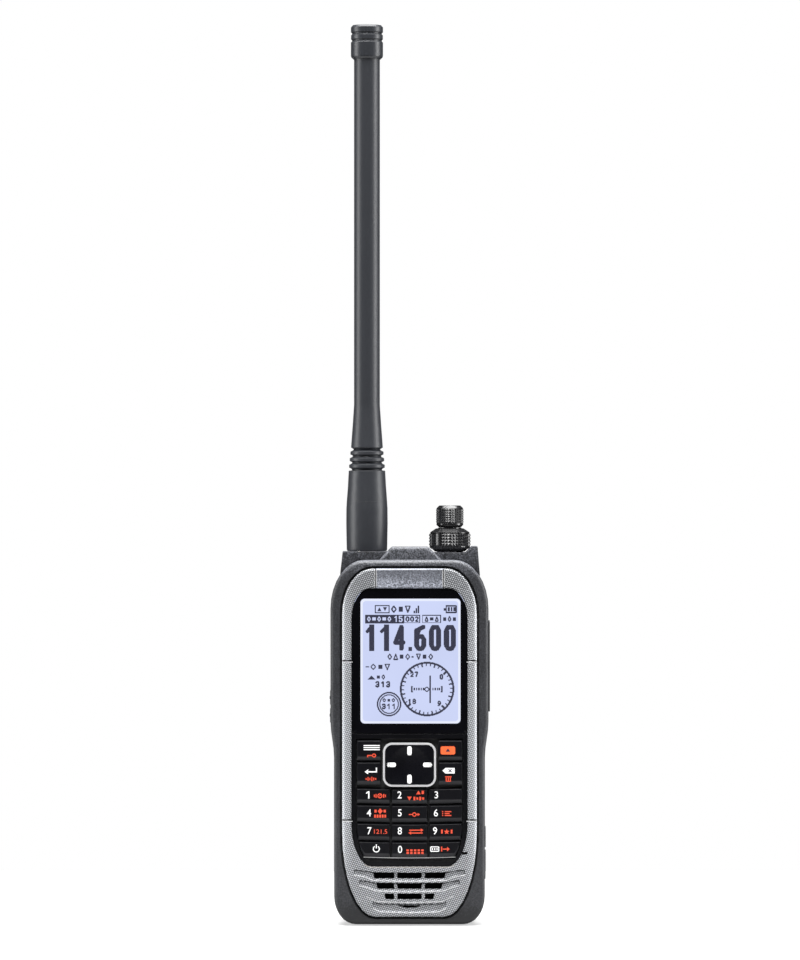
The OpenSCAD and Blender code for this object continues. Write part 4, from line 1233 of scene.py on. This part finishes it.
def compass():
    """The compass card: its ring and ticks, four numbers, the needle and the deviation scale."""
    cx, cz, r = 6.9, 92.3, 10.3
    shapes = [circle(cx, cz, r, 0.75)]
    for i in range(36):
        a = math.radians(10 * i + 42)
        r1 = r - 0.3
        r0 = r1 - (1.0 if i % 3 == 0 else 0.8)
        w = 0.9 if i % 9 == 0 else (0.6 if i % 3 == 0 else 0.42)
        shapes.append(seg(cx + r1 * math.cos(a), cz + r1 * math.sin(a),
                          cx + r0 * math.cos(a), cz + r0 * math.sin(a), w))
    for text, x, z in (("27", 1.8, 98.0), ("0", 12.5, 97.1), ("18", 0.9, 87.4), ("9", 11.6, 86.6)):
        w = 1.35 * len(text) + 0.35 * (len(text) - 1)
        shapes += digits(text, x - w / 2, z - 1.1, 1.4, 2.2, BOLD, 1.75)
    shapes += [seg(8.1, 87.2, 8.1, 97.2, 0.75), circle(6.8, 92.2, 0.75, PLAIN)]
    low, high = 91.2, 93.3
    for x, dx in ((0.9, 0.4), (12.7, -0.4)):
        shapes += [seg(x, low, x, high, PLAIN)] + [seg(x, z, x + dx, z, 0.3) for z in (low, high)]
    shapes += [box(x, 91.8, x + 0.45, 92.7) for x in (1.7, 2.6, 3.5, 4.4, 5.3, 9.0, 9.9, 10.8, 11.5)]
    return shapes


def lit_dots():
    """The display's dark dots, as pairs of column and row."""
    group_dark, group_light = group_row()
    dark = (status_row() + group_dark + main_number() + name_row() + left_column() + course_window()
            + compass())
    lit = set()
    for shapes, change in ((dark, lit.add), (group_light, lit.discard)):
        for (x0, z0, x1, z1), inside in shapes:
            for i in range(math.floor(x0 / DOT), math.ceil(x1 / DOT) + 1):
                for k in range(math.floor(z0 / DOT), math.ceil(z1 / DOT) + 1):
                    if inside((i + 0.5) * DOT, (k + 0.5) * DOT):
                        change((i, k))
    return lit


def runs_of(numbers):
    """Splits sorted whole numbers into unbroken runs, each as its first number and the one past its last."""
    start = prev = numbers[0]
    for n in numbers[1:] + [None]:
        if n is None or n != prev + 1:
            yield start, prev + 1
            start = n
        prev = n


def lcd_segments():
    """Merges each row's runs of dots, then equal runs on top of each other, into small slabs."""
    lit = lit_dots()
    runs = {}
    for k in sorted({k for _, k in lit}):
        for run in runs_of(sorted(i for i, kk in lit if kk == k)):
            runs.setdefault(run, []).append(k)
    bm = bmesh.new()
    y0, y1 = LENS_Y + 0.27, LENS_Y + 0.36
    for (i0, i1), rows in runs.items():
        for k0, k1 in runs_of(rows):
            x0, x1, z0, z1 = i0 * DOT, i1 * DOT, k0 * DOT, k1 * DOT
            flat(bm, [(x0, z0), (x1, z0), (x1, z1), (x0, z1)], y0, y1)
    add("lcd_segments", bm, "ink", "radio")


lcd_segments()

# ---- stage and light


def stage_floor():
    bm = bmesh.new()
    w, near, far = 0.6, -0.3, 0.25
    bm.faces.new([bm.verts.new(p) for p in ((-w, near, 0), (w, near, 0), (w, far, 0), (-w, far, 0))])
    mesh = bpy.data.meshes.new("floor")
    bm.to_mesh(mesh)
    bm.free()
    o = bpy.data.objects.new("floor", mesh)
    scene.collection.objects.link(o)
    m = Nodes("floor_white", (0.4, 0.4, 0.4), 0.9)
    m.tint(m.noise(300.0, 1.0), (0.39, 0.39, 0.39), (0.41, 0.41, 0.41))
    m.shader.inputs["Emission Color"].default_value = (1, 1, 1, 1)
    seen = m.times(m.new("ShaderNodeLightPath").outputs["Is Camera Ray"], 0.5)
    m.link(seen, m.shader.inputs["Emission Strength"])
    mesh.materials.append(m.done())
    o.location.z = -0.0006


def light(name, place, aim, size, power):
    """A softbox at a place in metres, turned to its aim."""
    data = bpy.data.lights.new(name, "AREA")
    data.shape = "RECTANGLE"
    data.size, data.size_y = size
    data.energy = power
    o = bpy.data.objects.new(name, data)
    o.location = place
    o.rotation_mode = "QUATERNION"
    o.rotation_quaternion = (Vector(aim) - Vector(place)).to_track_quat("-Z", "Y")
    scene.collection.objects.link(o)


def studio():
    world = bpy.data.worlds.new("studio")
    scene.world = world
    world.use_nodes = True
    tree = world.node_tree
    background = tree.nodes["Background"]
    background.inputs["Color"].default_value = (1, 1, 1, 1)
    # White to the camera, but only a faint fill light on the object
    path = tree.nodes.new("ShaderNodeLightPath")
    mix = tree.nodes.new("ShaderNodeMapRange")
    mix.inputs["To Min"].default_value = 0.07
    mix.inputs["To Max"].default_value = 1.0
    tree.links.new(path.outputs["Is Camera Ray"], mix.inputs["Value"])
    tree.links.new(mix.outputs[0], background.inputs["Strength"])
    light("softbox_left", (-1.2, -0.15, 0.35), (0, 0, 0.15), (0.5, 1.4), 13)
    light("softbox_right", (1.2, -0.15, 0.35), (0, 0, 0.15), (0.5, 1.4), 17)
    light("softbox_top", (0, -0.1, 1.5), (0, 0, 0), (1.6, 1.2), 62)
    light("softbox_front", (-0.15, -1.25, 1.6), (0, 0, 0.12), (0.6, 0.5), 24)


stage_floor()
studio()
